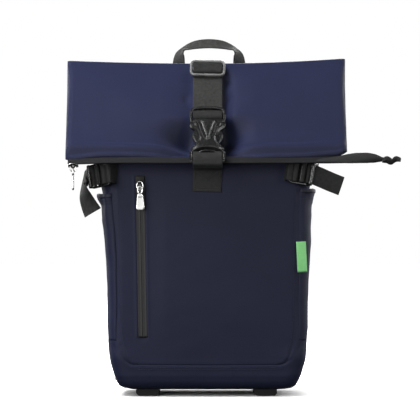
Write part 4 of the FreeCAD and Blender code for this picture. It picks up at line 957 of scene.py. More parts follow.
V, F, _ = pull_parts(26.5, 8.0, 9.2, 2.2)
W_ = piv + np.stack([V[:, 2], V[:, 0], -V[:, 1]], 1)
make("mouth_pull_metal", W_, F, METAL, "mouth_pull", ("mouth_zip_pull",))

# ---------------------------------------------------------------------------
# front pocket zip
# ---------------------------------------------------------------------------
LEAN = math.radians(1.05)
ZD = A([-math.sin(LEAN), 0, math.cos(LEAN)])
ZX = A([math.cos(LEAN), 0, math.sin(LEAN)])
ZO = A([-81.7, -62.0, 78.0])


def zipf(p):
    p = A(p, float)
    return ZO + p[..., :1] * ZX + p[..., 1:2] * A([0, 1.0, 0]) + p[..., 2:3] * ZD


hgt = np.linspace(-1.5, 204, 90)
parts = []
for sgn in (-1, 1):
    c = zipf(np.stack([np.full_like(hgt, sgn * 2.85), np.full_like(hgt, -0.9), hgt], -1))
    parts.append(sweep(c, np.repeat(ZX[None], 90, 0), flat_section(5.4, 1.1, 11, crown=0.35)))
V, F, uv = join(parts)
make("pocket_tape", V, F, TAPE, "bag", ("pocket_zip_chain",), uv)
# garage over the upper stop
V, F, _ = shaped_plate(np.linspace(197.5, 206, 14), lambda y: 5.9 - 0.3 * abs(y - 202) / 4, lambda x, y: 2.6 + 0.8 * (1 - (x / 6) ** 2), lambda x, y: 0.2 + 0 * x, m=21, k=4, ends=2.2)
make("pocket_garage", zipf(np.stack([V[:, 0], -V[:, 2], V[:, 1]], 1)), F, WEB_SHADED, "bag", ("pocket_zip_stop",), V[:, :2])
ppiv = A([j for j in frame["joints"] if j["name"] == "pocket_pull_swing"][0]["pos_m"]) * 1000
ZC = 203 - 6.5 - 7.0
bodyp = slider_parts(lambda v: zipf(np.stack([A(v)[:, 0], -2.6 - A(v)[:, 2], ZC + A(v)[:, 1]], 1)), 14.0, 9.2, 2.6)
make("pocket_slider_body", bodyp[0], bodyp[1], METAL_DARK, "pocket_slider", ("pocket_zip_slider",))
rc = A([0, -7.9, 271.5 - 78.0])
ringp = [zipf(rc + A([4.0 * math.cos(a), 1.0 * math.sin(a), 5.0 * math.sin(a)])) for a in np.linspace(0, 2 * np.pi, 36, endpoint=False)]
ring_s = sweep(ringp, np.repeat(A([[0, 1.0, 0]]), 36, 0), round_section(1.0, 0.95, 12), closed=True)
posts = [sweep(A([zipf(rc + A([0, 3.4, z])), zipf(rc + A([0, 0.2, z]))]), np.repeat(ZX[None], 2, 0), round_section(1.5, 0.8, 12)) for z in (5.0, -5.0)]
V, F, _ = join([ring_s] + posts)
make("pocket_slider_ring", V, F, METAL, "pocket_slider")
V, F, _ = pull_parts(29.3, 7.4, 10.6, 1.8)
down = -ZD
W_ = ppiv + V[:, :1] * ZX + V[:, 1:2] * down + V[:, 2:3] * A([0, -1.0, 0])
W_ = W_ + A([0, -0.3, 0])
make("pocket_pull_metal", W_, F, METAL, "pocket_pull", ("pocket_zip_pull",))

# ---------------------------------------------------------------------------
# closure strap, tri-glide and buckle
# ---------------------------------------------------------------------------
CX = 1.5
UPY = FY


def fold_path(rows, n):
    """rows of (distance down, height off the plane)."""
    a = spline([(0, -s, z) for s, z in rows], n)
    a[:, 0] += CX
    return fold(a)


# strap from the rolled edge to the buckle, in one piece that crosses the release joint
crest = []
for a in (110, 121, 131, 141):
    t_ = math.radians(a)
    crest.append((CX, 12 + 8.1 * math.cos(t_), 428 + 8.1 * math.sin(t_)))
runp = [tuple(fold(A([CX, -s, z]))) for s, z in ((8, 8.2), (22, 8.3), (36, 8.6), (52, 8.9), (68, 8.8), (80, 8.6), (86.5, 9.4))]
P_ = spline(crest + runp, 110)
W_ = np.repeat(A([[1.0, 0, 0]]), 110, 0)
V, F, uv = sweep(P_, -W_, flat_section(38, 1.5, 21, crown=0.0))
strap = make("closure_webbing", V, F, WEB, None, ("closure_strap", "closure_strap_upper"), uv)
st0, st1 = fold(A([0, -30, 8.5])) * 0.001, fold(A([0, -82, 8.5])) * 0.001
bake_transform(strap)
# turn of webbing over the male half's bar
turn = [(89.0, 9.4), (89.6, 12.5), (90.6, 15.2), (94.0, 16.2), (98.0, 15.6), (100.8, 13.2), (100.9, 10.2), (98.6, 8.4), (94.0, 8.0)]
P_ = fold_path(turn, 50)
V, F, uv = sweep(P_, np.repeat(A([[-1.0, 0, 0]]), 50, 0), flat_section(37.6, 1.5, 21))
make("closure_turn", V, F, WEB_SHADED, "closure", (), uv)
# tri-glide: a rounded ring with a middle bar under the webbing
gl = loop_rect(43.0, 24.0, 5.5, 9)
rot = math.radians(-1.6)
gl = np.stack([gl[:, 0] * math.cos(rot) - gl[:, 1] * math.sin(rot), gl[:, 0] * math.sin(rot) + gl[:, 1] * math.cos(rot)], 1)
gp = fold(np.stack([gl[:, 0] + CX, gl[:, 1] - 12.5, np.full(len(gl), 12.2)], 1))
ring_g = sweep(gp, np.repeat(FZ[None], len(gp), 0), round_section(1.75, 1.7, 14, 3.0), closed=True)
bar = sweep(fold(A([(CX - 21, -12.5, 11.6), (CX, -12.5, 11.6), (CX + 21, -12.5, 11.6)])), np.repeat(FZ[None], 3, 0), round_section(1.5, 2.2, 14, 2.6))
V, F, _ = join([ring_g, bar])
make("tri_glide_moulding", V, F, PLASTIC_GREY, "glide", ("tri_glide",))
wr = [(4.6, 9.9), (4.0, 12.4), (5.6, 14.8), (9.0, 15.9), (12.5, 16.1), (16.0, 15.8), (19.4, 14.6), (20.9, 12.2), (20.2, 9.9)]
V, F, uv = sweep(fold_path(wr, 44), np.repeat(A([[-1.0, 0, 0]]), 44, 0), flat_section(37.8, 1.5, 21))
make("tri_glide_wrap", V, F, WEB_SHADED, "glide", ("tri_glide_webbing",), uv)

# male half: arched top bar, legs, base and tongue
B_LO, B_HI = 9.9, 14.4
mp = [(-20.6, -108), (-21.6, -100), (-21.2, -91), (-19.6, -86.6), (-14, -84.6), (0, -83.6), (14, -84.6), (19.6, -86.6), (21.2, -91), (21.6, -100), (20.6, -108)]
mpath = spline([(x + CX, y, 12.6 + (1.6 if abs(x) < 15 else 0.4) * 0.6) for x, y in mp], 80)
frame_t = sweep(fold(mpath), np.repeat(FZ[None], 80, 0), round_section(2.3, 1.9, 14, 3.2))
inbar = sweep(fold(spline([(CX - 20.5, -95.4, 12), (CX, -95.4, 12), (CX + 20.5, -95.4, 12)], 10)), np.repeat(FZ[None], 10, 0), round_section(1.7, 3.4, 14, 3))
base_ = shaped_plate(np.linspace(-108.2, -102.6, 10), lambda y: 21.8, lambda x, y: B_HI + 0.6 * (1 - (x / 22) ** 2), lambda x, y: B_LO + 0 * x, m=31, k=10, ends=1.5)
tong = shaped_plate(np.linspace(-139.5, -107, 20), lambda y: 3.2, lambda x, y: B_HI - 0.8 + 0 * x, lambda x, y: B_LO + 0.4 + 0 * x, m=13, k=6, ends=2)
V, F, _ = join([frame_t, inbar, (fold(base_[0] + A([CX, 0, 0])), base_[1], None), (fold(tong[0] + A([CX, 0, 0])), tong[1], None)])
make("buckle_male_moulding", V, F, PLASTIC, "closure", ("buckle_male_frame",))
for name, sgn in (("left", -1), ("right", 1)):
    ys_ = np.linspace(-145.4, -108.7, 44)
    cxm = lambda y: np.interp(-y, [108.3, 118, 124, 131, 138, 146], [9.8, 11.2, 14.5, 16.0, 14.6, 12.0])
    hwm = lambda y: np.interp(-y, [108.3, 116, 121, 126, 134, 141, 146], [2.2, 2.2, 3.4, 4.1, 4.2, 3.0, 1.4])
    plate = shaped_plate(ys_, lambda y: float(hwm(y)), lambda x, y: 14.2 + 0.5 * (1 - (x / 5) ** 2) * (1 if -y > 122 else 0), lambda x, y: 10.0 + 0 * x, m=17, k=4, ends=1.4)
    Vp = plate[0].copy()
    Vp[:, 0] = Vp[:, 0] + sgn * cxm(Vp[:, 1]) + CX
    make("buckle_prong_moulding_" + name, fold(Vp), plate[1], PLASTIC, "prong_" + name, ("buckle_prong_" + name,))

# female half: waisted, domed, with a raised wedge and an arched slot
hwk_s = [108, 109.5, 112, 116, 119, 123, 127, 132, 137, 142, 147, 152, 157, 161, 164, 168, 171]
hwk_w = [22.4, 23.1, 23.3, 22.6, 20.6, 16.9, 14.6, 13.5, 13.2, 14.2, 17.2, 20.8, 22.6, 23.2, 23.2, 22.7, 21.2]


def f_half(y):
    s = -y
    return float(np.interp(s, hwk_s, hwk_w))


def f_front(x, y):
    s = -y
    ax = np.abs(x)
    h = 17.3 + 0.9 * (1 - (x / 24) ** 2)
    # raised wedge that narrows downwards
    wl = np.interp(s, [108, 110, 136, 141], [12.0, 11.6, 4.2, 1.5])
    wedge = float(smooth(107.5, 109.5, A(s))) * float(1 - smooth(137, 142, A(s)))
    h = h + 3.6 * np.sqrt(np.clip(1 - (ax / wl) ** 2, 0, 1)) * wedge
    h = h - 1.5 * np.exp(-((ax - wl - 1.6) / 1.3) ** 2) * float(1 - smooth(134, 140, A(s)))
    # a rounded ridge follows the outline
    edge = f_half(y) - ax
    h = h + 1.3 * np.exp(-((edge - 3.2) / 1.5) ** 2) * float(smooth(110, 114, A(s))) * float(1 - smooth(150, 154, A(s)))
    # shoulders fall away, ribs for the thumb
    h = h - 2.6 * smooth(13, 22, ax) * float(1 - smooth(118, 124, A(s)))
    h = h - 1.4 * smooth(10, 20, ax) * float(smooth(140, 148, A(s)))
    # scooped mouth at the top edge
    h = h - 1.2 * np.exp(-((s - 108) / 2.0) ** 2)
    # arched slot for the webbing
    arch = 155.2 + 0.0042 * x ** 2 * 3.2
    inside = np.exp(-((s - arch) / 2.1) ** 4)
    h = h - 7.0 * inside * (1 - smooth(18.6, 19.8, ax))
    # hollow below the slot, between the ears
    h = h - 4.2 * float(smooth(158, 161, A(s))) * (1 - smooth(18.4, 19.8, ax))
    return h


def f_back(x, y):
    return np.full_like(x, 7.4)


ysf = np.concatenate([np.linspace(-171, -150, 44), np.linspace(-149.4, -112, 56), np.linspace(-111.4, -108, 10)])
plate = shaped_plate(ysf, f_half, f_front, f_back, m=81, k=7, ends=1.6)
fem = make("buckle_female_moulding", fold(plate[0] + A([CX, 0, 0])), plate[1], PLASTIC, "bag", ("buckle_female",))

# anchor tab: webbing from the buckle's lower bar, under the zip, flat down the front panel
tabrows = [fold(A([CX, -157.0, 12.8])), fold(A([CX, -161.5, 14.6])), fold(A([CX, -167, 14.4])), fold(A([CX, -171.5, 12.0]))]
yf_ = on_front(CX, 285)[0][1]
tab_pts = [tuple(p) for p in tabrows] + [(CX, -104.5, 297.0), (CX, -98, 294.2), (CX, -84, 293.8), (CX, yf_ - 7.5, 294.6), (CX, yf_ - 2.6, 292.6), (CX - 0.3, yf_ - 1.3, 287), (CX - 0.6, yf_ - 1.2, 276), (CX - 1.0, yf_ - 1.2, 263.4)]
tab_pts = tab_pts[:-3] + [(CX - 0.3, on_front(CX, 286)[0][1] - 1.1, 286.5), (CX - 0.6, on_front(CX, 276)[0][1] - 1.1, 276), (CX - 1.0, on_front(CX, 264)[0][1] - 1.1, 263.4)]
P_ = spline(tab_pts, 120)
V, F, uv = sweep(P_, np.repeat(A([[-1.0, 0, 0]]), 120, 0), flat_section(37.4, 1.5, 21))
make("anchor_webbing", V, F, WEB_SHADED, "bag", ("anchor_tab",), uv)
# box-and-cross stitching on the sewn patch
bx0, bx1, bz0, bz1 = CX - 16.6, CX + 15.4, 266.5, 291.0
box_ = [((bx0, bz1), (bx1, bz1)), ((bx1, bz1), (bx1, bz0)), ((bx1, bz0), (bx0, bz0)), ((bx0, bz0), (bx0, bz1)), ((bx0, bz1), (bx1, bz0)), ((bx1, bz1), (bx0, bz0)), ((bx0 + 2, bz1 - 2), (bx1 - 2, bz1 - 2)), ((bx0 + 2, bz0 + 2), (bx1 - 2, bz0 + 2))]
for (xa, za), (xb, zb_) in box_:
    t_ = np.linspace(0, 1, 24)
    zz_ = za + (zb_ - za) * t_
    xx_ = xa + (xb - xa) * t_
    yy_ = on_front(xx_, zz_)[:, 1]
    ymid = np.interp(zz_, P_[::-1, 2][:], P_[::-1, 1][:]) if False else on_front(np.full(24, CX), zz_)[:, 1] - 1.95
    stitches(("bag", THREAD_BLACK, "stitching_tab"), np.stack([xx_, ymid, zz_], 1), (0, -1, 0), pitch=2.7, length=1.9, radius=0.3, lift=0.0)

# ---------------------------------------------------------------------------
# label in the right seam
# ---------------------------------------------------------------------------
lp = []
lz = np.linspace(199.5, 160.5, 20)
lx = 115.6 + (199.5 - lz) * 0.045
for lz_, lx_ in zip(lz, lx):
    lp.append((lx_ + 5.6, on_front(114, lz_)[0][1] - 1.4 - 0.5 * math.sin((lz_ - 160) * 0.08), lz_))
V, F, uv = sweep(A(lp), np.repeat(unit(A([[1.0, 0.06, 0.0]])), 20, 0), flat_section(12.6, 0.9, 13, crown=0.5))
make("seam_label_cloth", V, F, GREEN, "bag", ("seam_label",), uv)

# ---------------------------------------------------------------------------
# ladder locks, their anchors, tails and side runs
# ---------------------------------------------------------------------------


def rotm(axis, deg):
    a = math.radians(deg)
    c, s = math.cos(a), math.sin(a)
    return {"x": A([[1, 0, 0], [0, c, -s], [0, s, c]]), "y": A([[c, 0, s], [0, 1, 0], [-s, 0, c]]), "z": A([[c, -s, 0], [s, c, 0], [0, 0, 1]])}[axis]


# the left lock lies a little nearer the bag than its hinge axis
LOCKS = {"right": (A([120.5, -67.5, 288.0]), rotm("z", 14) @ rotm("y", 9) @ rotm("x", 90)),
         "left": (A([-135.0, -63.0, 284.5]), rotm("z", 142) @ rotm("y", 9) @ rotm("x", -90))}


def lock_mesh(org, R):
    """Ladder lock: x along the webbing, y across it, z out. Three cross bars inside a frame."""
    parts = []
    lr = loop_rect(31.0, 28.4, 4.0, 8)
    path = A([(x, y, 2.6 + 0.9 * (1 - (x / 16) ** 2)) for x, y in lr])
    parts.append(sweep(path @ R.T + org, np.repeat((R @ A([0, 0, 1.0]))[None], len(path), 0), round_section(2.0, 1.45, 12, 3), closed=True))
    for x0, h, rx, rz in ((-7.2, 3.4, 1.7, 1.5), (0.6, 4.6, 2.0, 1.7), (8.6, 3.6, 2.0, 1.7)):
        b = A([(x0, y, h) for y in np.linspace(-13.6, 13.6, 9)])
        parts.append(sweep(b @ R.T + org, np.repeat((R @ A([0, 0, 1.0]))[None], 9, 0), round_section(rz, rx, 14, 2.6)))
    lip = A([(12.4 + 0.5 * (1 - (y / 15.0) ** 2), y, 9.3 + 0.5 * (1 - (y / 15.0) ** 2)) for y in np.linspace(-14.6, 14.6, 13)])
    parts.append(sweep(lip @ R.T + org, np.repeat((R @ A([0, 0, 1.0]))[None], 13, 0), round_section(1.3, 2.3, 14, 2.4)))
    for y in (-14.0, 14.0):
        post = A([(12.6, y, 2.2), (12.6, y, 5.5), (12.4, y, 9.2)])
        parts.append(sweep(post @ R.T + org, np.repeat((R @ A([1.0, 0, 0]))[None], 3, 0), round_section(2.0, 1.1, 12, 3)))
    return join(parts)


for name, (org, R) in LOCKS.items():
    body = "adjuster_" + name
    V, F, _ = lock_mesh(org, R)
    make("ladder_lock_moulding_" + name, V, F, PLASTIC, body, ("ladder_lock_" + name,))
    toW = lambda q, org=org, R=R: A(q, float) @ R.T + org
    across = R @ A([0, 1.0, 0])
    # webbing threaded over the bars
    thr = toW([(-13.5, 0, 0.6), (-9.5, 0, 5.6), (-6.0, 0, 6.2), (-3.6, 0, 1.6), (-1.5, 0, 2.0), (0.6, 0, 7.3), (3.5, 0, 7.0), (6.0, 0, 3.6), (8.4, 0, 6.4), (12.5, 0, 6.3), (15.5, 0, 5.8)])
    V, F, uv = sweep(spline(thr, 80), np.repeat(across[None], 80, 0), flat_section(24.6, 1.3, 15))
    make("side_thread_" + name, V, F, WEB_SHADED, body, (), uv)

# right tail: straight out and down
org, R = LOCKS["right"]
p0 = A([14.5, 0, 5.9]) @ R.T + org
a0 = R @ A([0, 1.0, 0])
webbing("side_tail_right", [tuple(p0), (147, -68.5, 281.2), (160, -66.5, 275.6), (173.0, -63.5, 270.6)],
        [tuple(a0), (0.30, 0.05, 0.95), (0.36, 0.1, 0.93), (0.40, 0.15, 0.9)], 24.8, 1.4, WEB_SHADED, "adjuster_right", 50, ("side_strap_tail_right",), crown=0.5, ripple=0.5, seed=5)
# left tail: curls over the lock's outer bar, hangs and twists
org, R = LOCKS["left"]
p0 = A([14.0, 0, 6.0]) @ R.T + org
a0 = R @ A([0, 1.0, 0])
webbing("side_tail_left", [tuple(p0), (-154.8, -57.5, 283), (-157.2, -54, 271), (-155.5, -53, 257), (-151.0, -54, 245.5), (-146.2, -56, 236.4)],
        [tuple(a0), (0.1, -0.75, -0.6), (0.3, -0.93, -0.1), (0.66, -0.72, 0.25), (0.68, -0.45, 0.6), (0.6, -0.1, 0.8)], 24.8, 1.4, WEB_SHADED, "adjuster_left", 80, ("side_strap_tail_left",), crown=0.8, ripple=0.3, seed=6)
# anchors from the front seams to the locks
org, R = LOCKS["right"]
near = [tuple(A(q_) @ R.T + org) for q_ in ((-18.5, 0, 3.6), (-15.2, 0, 5.4), (-11.2, 0, 4.6))]
ac_ = tuple(R @ A([0, 1.0, 0]))
aw = webbing("side_anchor_web_right", [tuple(on_front(101, 290, 0.9)[0])] + near, [(0.1, 0, 1), ac_, ac_, ac_], 24.8, 1.4, WEB_SHADED, None, 24, ("side_anchor_right",))
tuple(on_front(104, 290, 0.9)[0] * 0.001)
tuple(A(near[0]) * 0.001)
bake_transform(aw)
org, R = LOCKS["left"]
near = [tuple(A(q_) @ R.T + org) for q_ in ((-18.0, 0, 3.0), (-15.2, 0, 5.4), (-11.2, 0, 4.6))]
ac_ = tuple(-(R @ A([0, 1.0, 0])))
aw = webbing("side_anchor_web_left", [tuple(on_front(-115, 286, 0.7)[0])] + near, [(0.1, 0, 1), ac_, ac_, ac_], 24.8, 1.4, WEB_SHADED, None, 24, ("side_anchor_left",))
tuple(on_front(-117, 286, 0.7)[0] * 0.001)
tuple(A(near[0]) * 0.001)
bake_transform(aw)
# runs along the sides from the back seam
webbing("side_run_right", [(134.0, 50, 288), (142.5, 36, 288), (145.0, 0, 288.5), (143.5, -34, 288), (138.5, -52, 286), (133.5, -61.0, 285)], [(0.12, 0, 1)] * 6, 24.8, 1.4, WEB_SHADED, "bag", 60, ("side_strap_right",), ripple=0.5, seed=8)
webbing("side_run_left", [(-134.0, 50, 288), (-142.5, 36, 288), (-145.0, 0, 288.5), (-146.5, -28, 286.5), (-148.0, -46, 283.5), (-148.5, -54.0, 282.5)], [(-0.12, 0, 1)] * 6, 24.8, 1.4, WEB_SHADED, "bag", 60, ("side_strap_left",), ripple=0.5, seed=9)

# ---------------------------------------------------------------------------
# carry handle
# ---------------------------------------------------------------------------
HX, HY = 3.2, 61.2
hl = [(-41.5, 374, 0), (-41.5, 400, 0), (-41, 424, 0), (-40.5, 440, 0), (-39.5, 448, 0), (-37.5, 453, -0.3), (-33.5, 457.3, -0.8), (-27, 459.8, -1.6), (-16, 462.4, -2.6)]
hp = hl + [(0, 463.6, -3.0)] + [(-x, z, dy) for x, z, dy in hl[::-1]]
wl_ = [(1, 0, 0), (1, 0, 0), (0.95, -0.3, 0), (0.83, -0.55, 0), (0.68, -0.73, -0.05), (0.42, -0.9, -0.12), (0.12, -0.95, -0.28), (0.04, -0.87, -0.48), (0.0, -0.78, -0.62)]
hw_ = wl_ + [(0, -0.75, -0.66)] + [(-x, y, z) for x, y, z in wl_[::-1]]
PW = spline(np.hstack([A([(x + HX, HY + dy, z) for x, z, dy in hp]), A(hw_, float)]), 170)
P_, W_ = PW[:, :3], PW[:, 3:]
wd = np.interp(np.abs(P_[:, 0] - HX), [0, 20, 36, 44], [19.5, 19.5, 18.5, 19.5])
sec = A([flat_section(w_, 1.9, 17, crown=c_) for w_, c_ in zip(wd, np.interp(np.abs(P_[:, 0] - HX), [0, 30, 42], [1.8, 1.0, 0.0]))])
V, F, uv = sweep(P_, W_, sec)
make("handle_webbing_loop", V, F, WEB_GREY, "handle", ("carry_handle",), uv)
for x_ in (-41.5, 41.5):
    stitches(("handle", THREAD_BLACK, "stitching_handle"), np.stack([np.full(10, HX + x_ - 7), np.full(10, HY + 1.3), np.linspace(376, 396, 10)], 1), (0, 1, 0), pitch=2.8, length=2.0, radius=0.3)
    stitches(("handle", THREAD_BLACK, "stitching_handle"), np.stack([np.full(10, HX + x_ + 7), np.full(10, HY + 1.3), np.linspace(376, 396, 10)], 1), (0, 1, 0), pitch=2.8, length=2.0, radius=0.3)

# ---------------------------------------------------------------------------
# wearer's side: cushions, shoulder straps, yoke, webbing
# ---------------------------------------------------------------------------


def simulate(ob, pressure=4.0, cap_mm=8.0, voxel=0.0045, frames=20):
    """Blow a closed form up a little with Cloth, capped, and put the result in its mesh."""
    sc = bpy.context.scene
    for o in bpy.context.selected_objects:
        o.select_set(False)
    bpy.context.view_layer.objects.active = ob
    r = ob.modifiers.new("voxels", "REMESH")
    r.mode = "VOXEL"
    r.voxel_size = voxel
    dg = bpy.context.evaluated_depsgraph_get()
    me = bpy.data.meshes.new_from_object(ob.evaluated_get(dg))
    ob.modifiers.clear()
    old = ob.data
    mats = list(old.materials)
    ob.data = me
    me.materials.clear()
    for m_ in mats:
        me.materials.append(m_)
    rest = np.zeros(len(me.vertices) * 3)
    me.vertices.foreach_get("co", rest)
    rest = rest.reshape(-1, 3)
    c = ob.modifiers.new("cloth", "CLOTH")
    s = c.settings
    s.quality = 5
    s.mass = 0.15
    s.use_pressure = True
    s.uniform_pressure_force = pressure
    s.tension_stiffness = 18
    s.compression_stiffness = 18
    s.bending_stiffness = 0.6
    s.effector_weights.gravity = 0
    c.point_cache.frame_start = 1
    c.point_cache.frame_end = frames
    for f in range(1, frames + 1):
        sc.frame_set(f)
    dg = bpy.context.evaluated_depsgraph_get()
    ev = ob.evaluated_get(dg)
    got = np.zeros(len(ev.data.vertices) * 3)
    ev.data.vertices.foreach_get("co", got)
    got = got.reshape(-1, 3)
    ob.modifiers.clear()
    sc.frame_set(1)
    if len(got) == len(rest):
        d = got - rest
        L = np.linalg.norm(d, axis=1, keepdims=True)
        lim = cap_mm * 0.001
        d = d / np.maximum(L, 1e-9) * (lim * np.tanh(L / lim))
        me.vertices.foreach_set("co", (rest + d).ravel())
    me.polygons.foreach_set("use_smooth", [True] * len(me.polygons))
    me.update()
    return ob


def pad_block(outline, y0, y1, n=64):
    """A closed pad whose outline is in x, z, rounded over its edges towards y1."""
    O = A(outline, float)
    O = spline(np.vstack([O, O[:1]]), n + 1)[:-1]
    c = O.mean(0)
    rows = []
    for k, (t_, y) in enumerate(((0.0, y0), (0.55, y0), (0.9, y0), (1.0, y0 + 1.2), (1.0, (y0 + y1) / 2), (0.985, y1 - 2.0), (0.955, y1 - 0.6), (0.9, y1), (0.55, y1), (0.0, y1))):
        q_ = c + (O - c) * max(t_, 0.02)
        rows.append(np.column_stack([q_[:, 0], np.full(n, y), q_[:, 1]]))
    V_ = A(rows)
    nr_ = len(rows)
    return V_.reshape(-1, 3), grid_faces(nr_, n, close_v=True) + cap(range(n)) + cap([(nr_ - 1) * n + k for k in range(n)][::-1])


for name, sgn in (("left", -1), ("right", 1)):
    out = [(15, 58), (44, 55), (70, 60), (92, 78), (105, 108), (106.5, 180), (106, 250), (103, 296), (90, 320), (68, 333), (40, 334), (16, 332), (13.5, 250), (13.5, 150)]
    V, F = pad_block([(sgn * x, z) for x, z in out], 58.9, 67.0)
    cu = make("back_cushion_mesh_" + name, V, F, MESH, "bag", ("back_cushions",))
    simulate(cu, 3.0, 5.0, 0.005)
    # sewn channels
    co = np.zeros(len(cu.data.vertices) * 3)
    cu.data.vertices.foreach_get("co", co)
    co = co.reshape(-1, 3) * 1000
    dep = np.zeros(len(co))
    for zc in (118, 190, 262):
        ln = co[:, 2] - zc - 0.25 * (np.abs(co[:, 0]) - 60)
        dep += 3.4 * np.exp(-(ln / 5.0) ** 2)
    co[:, 1] -= dep * smooth(61, 66, co[:, 1])
    cu.data.vertices.foreach_set("co", (co / 1000).ravel())
    cu.data.update()

for name, sgn in (("left", -1), ("right", 1)):
    body = "harness_" + name
    path = [(44, 72.5, 364), (45, 77.5, 352), (50, 86, 325), (58, 93, 285), (68, 95, 240), (78, 93, 195), (87, 88.5, 158), (93, 84.5, 132)]
    P_ = spline([(sgn * x, y, z) for x, y, z in path], 70)
    T_ = unit(np.gradient(P_, axis=0))
    Wd = unit(A([[1.0, 0, 0]]) - T_ * T_[:, :1])
    wid = np.interp(np.linspace(0, 1, 70), [0, 0.1, 0.75, 0.93, 1], [58, 62, 62, 52, 34])
    thk = np.interp(np.linspace(0, 1, 70), [0, 0.08, 0.9, 1], [5, 10.5, 10, 4])
    sec = A([round_section(w_ / 2, t_ / 2, 30, 3.2) for w_, t_ in zip(wid, thk)])
    V, F, uv = sweep(P_, Wd, sec)
    pad = make("shoulder_pad_cloth_" + name, V, F, MESH, body, ("shoulder_pad_" + name,))
    simulate(pad, 2.5, 4.0, 0.005)
    # bound edge and a ladder of webbing down the middle
    Nn = np.cross(T_, Wd)
    face = np.sign(Nn[:, 1:2]) * Nn
    for side_ in (-1, 1):
        ep = P_ + Wd * (side_ * (wid[:, None] / 2 + 0.2))
        V, F, uv = sweep(ep, face, round_section(3.0, 1.6, 12, 2.4))
        make("pad_binding_%s_%s" % (name, "a" if side_ < 0 else "b"), V, F, NAVY_DARK, body, (), uv)
    mid_p = P_[3:62] + face[3:62] * (thk[3:62, None] / 2 + 2.6)
    V, F, uv = sweep(mid_p, Wd[3:62], flat_section(24.8, 1.4, 15))
    make("pad_web_" + name, V, F, WEB_SHADED, body, (), uv)
    for k in (8, 22, 36, 50, 60):
        if k < 59:
            c = mid_p[k - 3] + face[k] * 0.75
            stitches((body, THREAD_BLACK, "stitching_pad_" + name), np.stack([c - Wd[k] * 11, c + Wd[k] * 11]), face[k], pitch=2.6, length=1.8, radius=0.3)
    # ladder lock at the pad's foot
    lo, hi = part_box("harness_lock_" + name)
    c0 = A([(lo.x + hi.x) / 2, (lo.y + hi.y) / 2, (lo.z + hi.z) / 2]) * 1000
    Rl = np.stack([A([0, 0, -1.0]), A([1.0, 0, 0]), A([0, 1.0, 0])], 1)
    V, F, _ = lock_mesh(c0 - A([0, 2.5, 0]), Rl)
    make("harness_lock_moulding_" + name, V, F, PLASTIC, body, ("harness_lock_" + name,))
    webbing("harness_loop_" + name, [(sgn * 94, 86.0, 138), (sgn * 96, 85.5, 128), (sgn * 97, 84.0, 121)], (1, 0, 0), 24.8, 1.4, WEB_SHADED, body, 20)
    webbing("harness_tail_web_" + name, [(sgn * 97, 87, 112), (sgn * 97, 91.6, 106), (sgn * 97, 92.6, 92), (sgn * 97.6, 93.2, 70), (sgn * 98.4, 92.0, 43)], (1, 0, 0), 24.8, 1.4, WEB_SHADED, body, 50, ("harness_tail_" + name,), ripple=1.0, seed=12)
    lw = webbing("harness_lower_web_" + name, [(sgn * 97, 86.5, 108), (sgn * 97.2, 83.5, 98), (sgn * 98, 77, 84), (sgn * 100, 69, 66), (sgn * 103, 63, 50), (sgn * 105, 60.4, 40)], (1, 0, 0), 24.8, 1.4, WEB_SHADED, None, 50, ("harness_lower_webbing",))
    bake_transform(lw)
    # triangular anchor wing at the base
    wing = [(sgn * 88, 28), (sgn * 122, 26), (sgn * 122, 60), (sgn * 112, 58), (sgn * 92, 46)]
    V, F = pad_block(wing, 58.8, 60.4, 40)
    make("anchor_wing_" + name, V, F, NAVY_DARK, "bag")

V, F = pad_block([(-80, 345), (0, 343.5), (80, 345), (82, 358), (80, 369), (0, 371), (-80, 369), (-82, 358)], 58.8, 65.5, 80)
make("harness_yoke_cloth", V, F, NAVY, "bag", ("harness_yoke",))
for zz_ in (347.5, 367.0):
    stitches(("bag", THREAD, "stitching_yoke"), np.stack([np.linspace(-74, 74, 50), np.full(50, 65.4), np.full(50, zz_)], 1), (0, 1, 0), pitch=3.0, length=2.1, radius=0.28)

# feet: the CAD rails keep their shape and get a rubber surface
for n_ in ("foot_rail_left", "foot_rail_right"):
    NODE[n_].data.materials.clear()
    NODE[n_].data.materials.append(RUBBER)
for n_, m_ in (("lining", LINING), ("laptop_divider", LINING), ("front_pocket_bag", LINING), ("back_foam_sheet", FOAM), ("base_stiffener", FOAM)):
    NODE[n_].data.materials.clear()
    NODE[n_].data.materials.append(m_)

build_stitches()

# ---------------------------------------------------------------------------
# stage, light, camera
# ---------------------------------------------------------------------------


def plain(name, color):
    m = bpy.data.materials.new(name)
    m.use_nodes = True
    b = m.node_tree.nodes["Principled BSDF"]
    b.inputs["Base Color"].default_value = (*color, 1)
    b.inputs["Roughness"].default_value = 0.9
    b.inputs["Specular IOR Level"].default_value = 0.1
    return m


bpy.ops.mesh.primitive_plane_add(size=12, location=(0, 0, 0))
floor = bpy.context.object
floor.name = "floor"
fm = Mat("floor_white", (0.9, 0.9, 0.9), rough=0.9, spec=0.05)
fx, fy, _ = fm.sep(fm.coords())
dx_ = fm.math("MAXIMUM", fm.math("SUBTRACT", fm.math("ABSOLUTE", fx), 0.112), 0.0)
dy_ = fm.math("MAXIMUM", fm.math("SUBTRACT", fm.math("ABSOLUTE", fy), 0.055), 0.0)
dist = fm.math("SQRT", fm.math("ADD", fm.math("MULTIPLY", dx_, dx_), fm.math("MULTIPLY", dy_, dy_)))
glow = fm.n("ShaderNodeMapRange")
glow.interpolation_type = "SMOOTHSTEP"
glow.inputs["From Min"].default_value = 0.0
glow.inputs["From Max"].default_value = 0.07
glow.inputs["To Min"].default_value = 0.0
glow.inputs["To Max"].default_value = 1.0
fm.link(dist, glow.inputs["Value"])
fm.b.inputs["Emission Color"].default_value = (1, 1, 1, 1)
fm.to("Emission Strength", glow.outputs["Result"])
floor.data.materials.append(fm.m)
floor.visible_diffuse = False
floor.visible_glossy = False

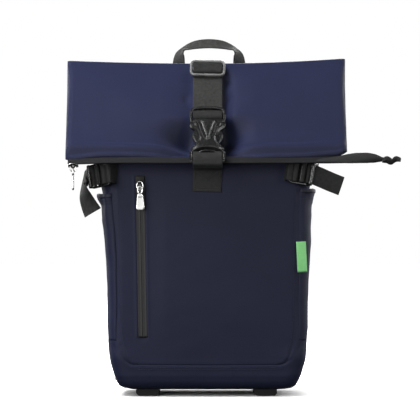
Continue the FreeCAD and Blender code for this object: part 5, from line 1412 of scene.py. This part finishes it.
sc = bpy.context.scene
w = bpy.data.worlds.new("studio")
sc.world = w
w.use_nodes = True
w.node_tree.nodes["Background"].inputs[0].default_value = (1, 1, 1, 1)
w.node_tree.nodes["Background"].inputs[1].default_value = 1.0
w.cycles_visibility.diffuse = False
w.cycles_visibility.glossy = False


def area(name, loc, target, size, power, color=(1, 1, 1)):
    d = bpy.data.lights.new(name, "AREA")
    d.shape = "RECTANGLE"
    d.size, d.size_y = size
    d.energy = power
    d.color = color
    o = bpy.data.objects.new(name, d)
    sc.collection.objects.link(o)
    o.location = loc
    o.rotation_euler = (Vector(target) - Vector(loc)).to_track_quat("-Z", "Y").to_euler()
    o.visible_camera = False
    return o


area("softbox_top", (-0.8, -0.25, 2.0), (0, 0, 0.3), (1.0, 1.0), 70).visible_glossy = False
area("softbox_crest", (-0.5, -0.9, 1.9), (0, 0, 0.3), (1.2, 0.5), 5)
area("softbox_left", (-0.85, -0.95, 0.45), (0, 0, 0.22), (0.8, 1.0), 11)
area("softbox_front", (-0.2, -2.5, 0.6), (0, 0, 0.2), (1.6, 1.4), 13)
area("softbox_right", (1.6, -0.3, 0.6), (0, 0, 0.2), (0.9, 1.2), 12)
area("softbox_back", (0.3, 2.4, 1.2), (0, 0, 0.2), (1.6, 1.4), 95)
area("softbox_rear_left", (-1.7, 1.3, 0.8), (0, 0, 0.2), (0.9, 1.2), 22)
area("softbox_rear_right", (1.7, 1.3, 0.8), (0, 0, 0.2), (0.9, 1.2), 26)
for x_ in (-1.15, 1.15):
    area("overhead_%s" % ("left" if x_ < 0 else "right"), (x_, -0.45, 2.0), (0, 0, 0.3), (1.0, 0.22), 9).visible_diffuse = False
for x_ in (-1.25, 1.25):
    area("strip_%s" % ("left" if x_ < 0 else "right"), (x_, -1.7, 0.5), (0, 0, 0.3), (0.16, 1.2), 17).visible_diffuse = False

cam = bpy.data.cameras.new("camera")
cam.lens = 169.5
cam.sensor_width = 36
cam.clip_end = 50
co = bpy.data.objects.new("camera", cam)
sc.collection.objects.link(co)
co.location = (0.0045, -2.6, 0.240)
co.rotation_euler = (math.pi / 2, 0, 0)
sc.camera = co
sc.view_settings.view_transform = "Standard"
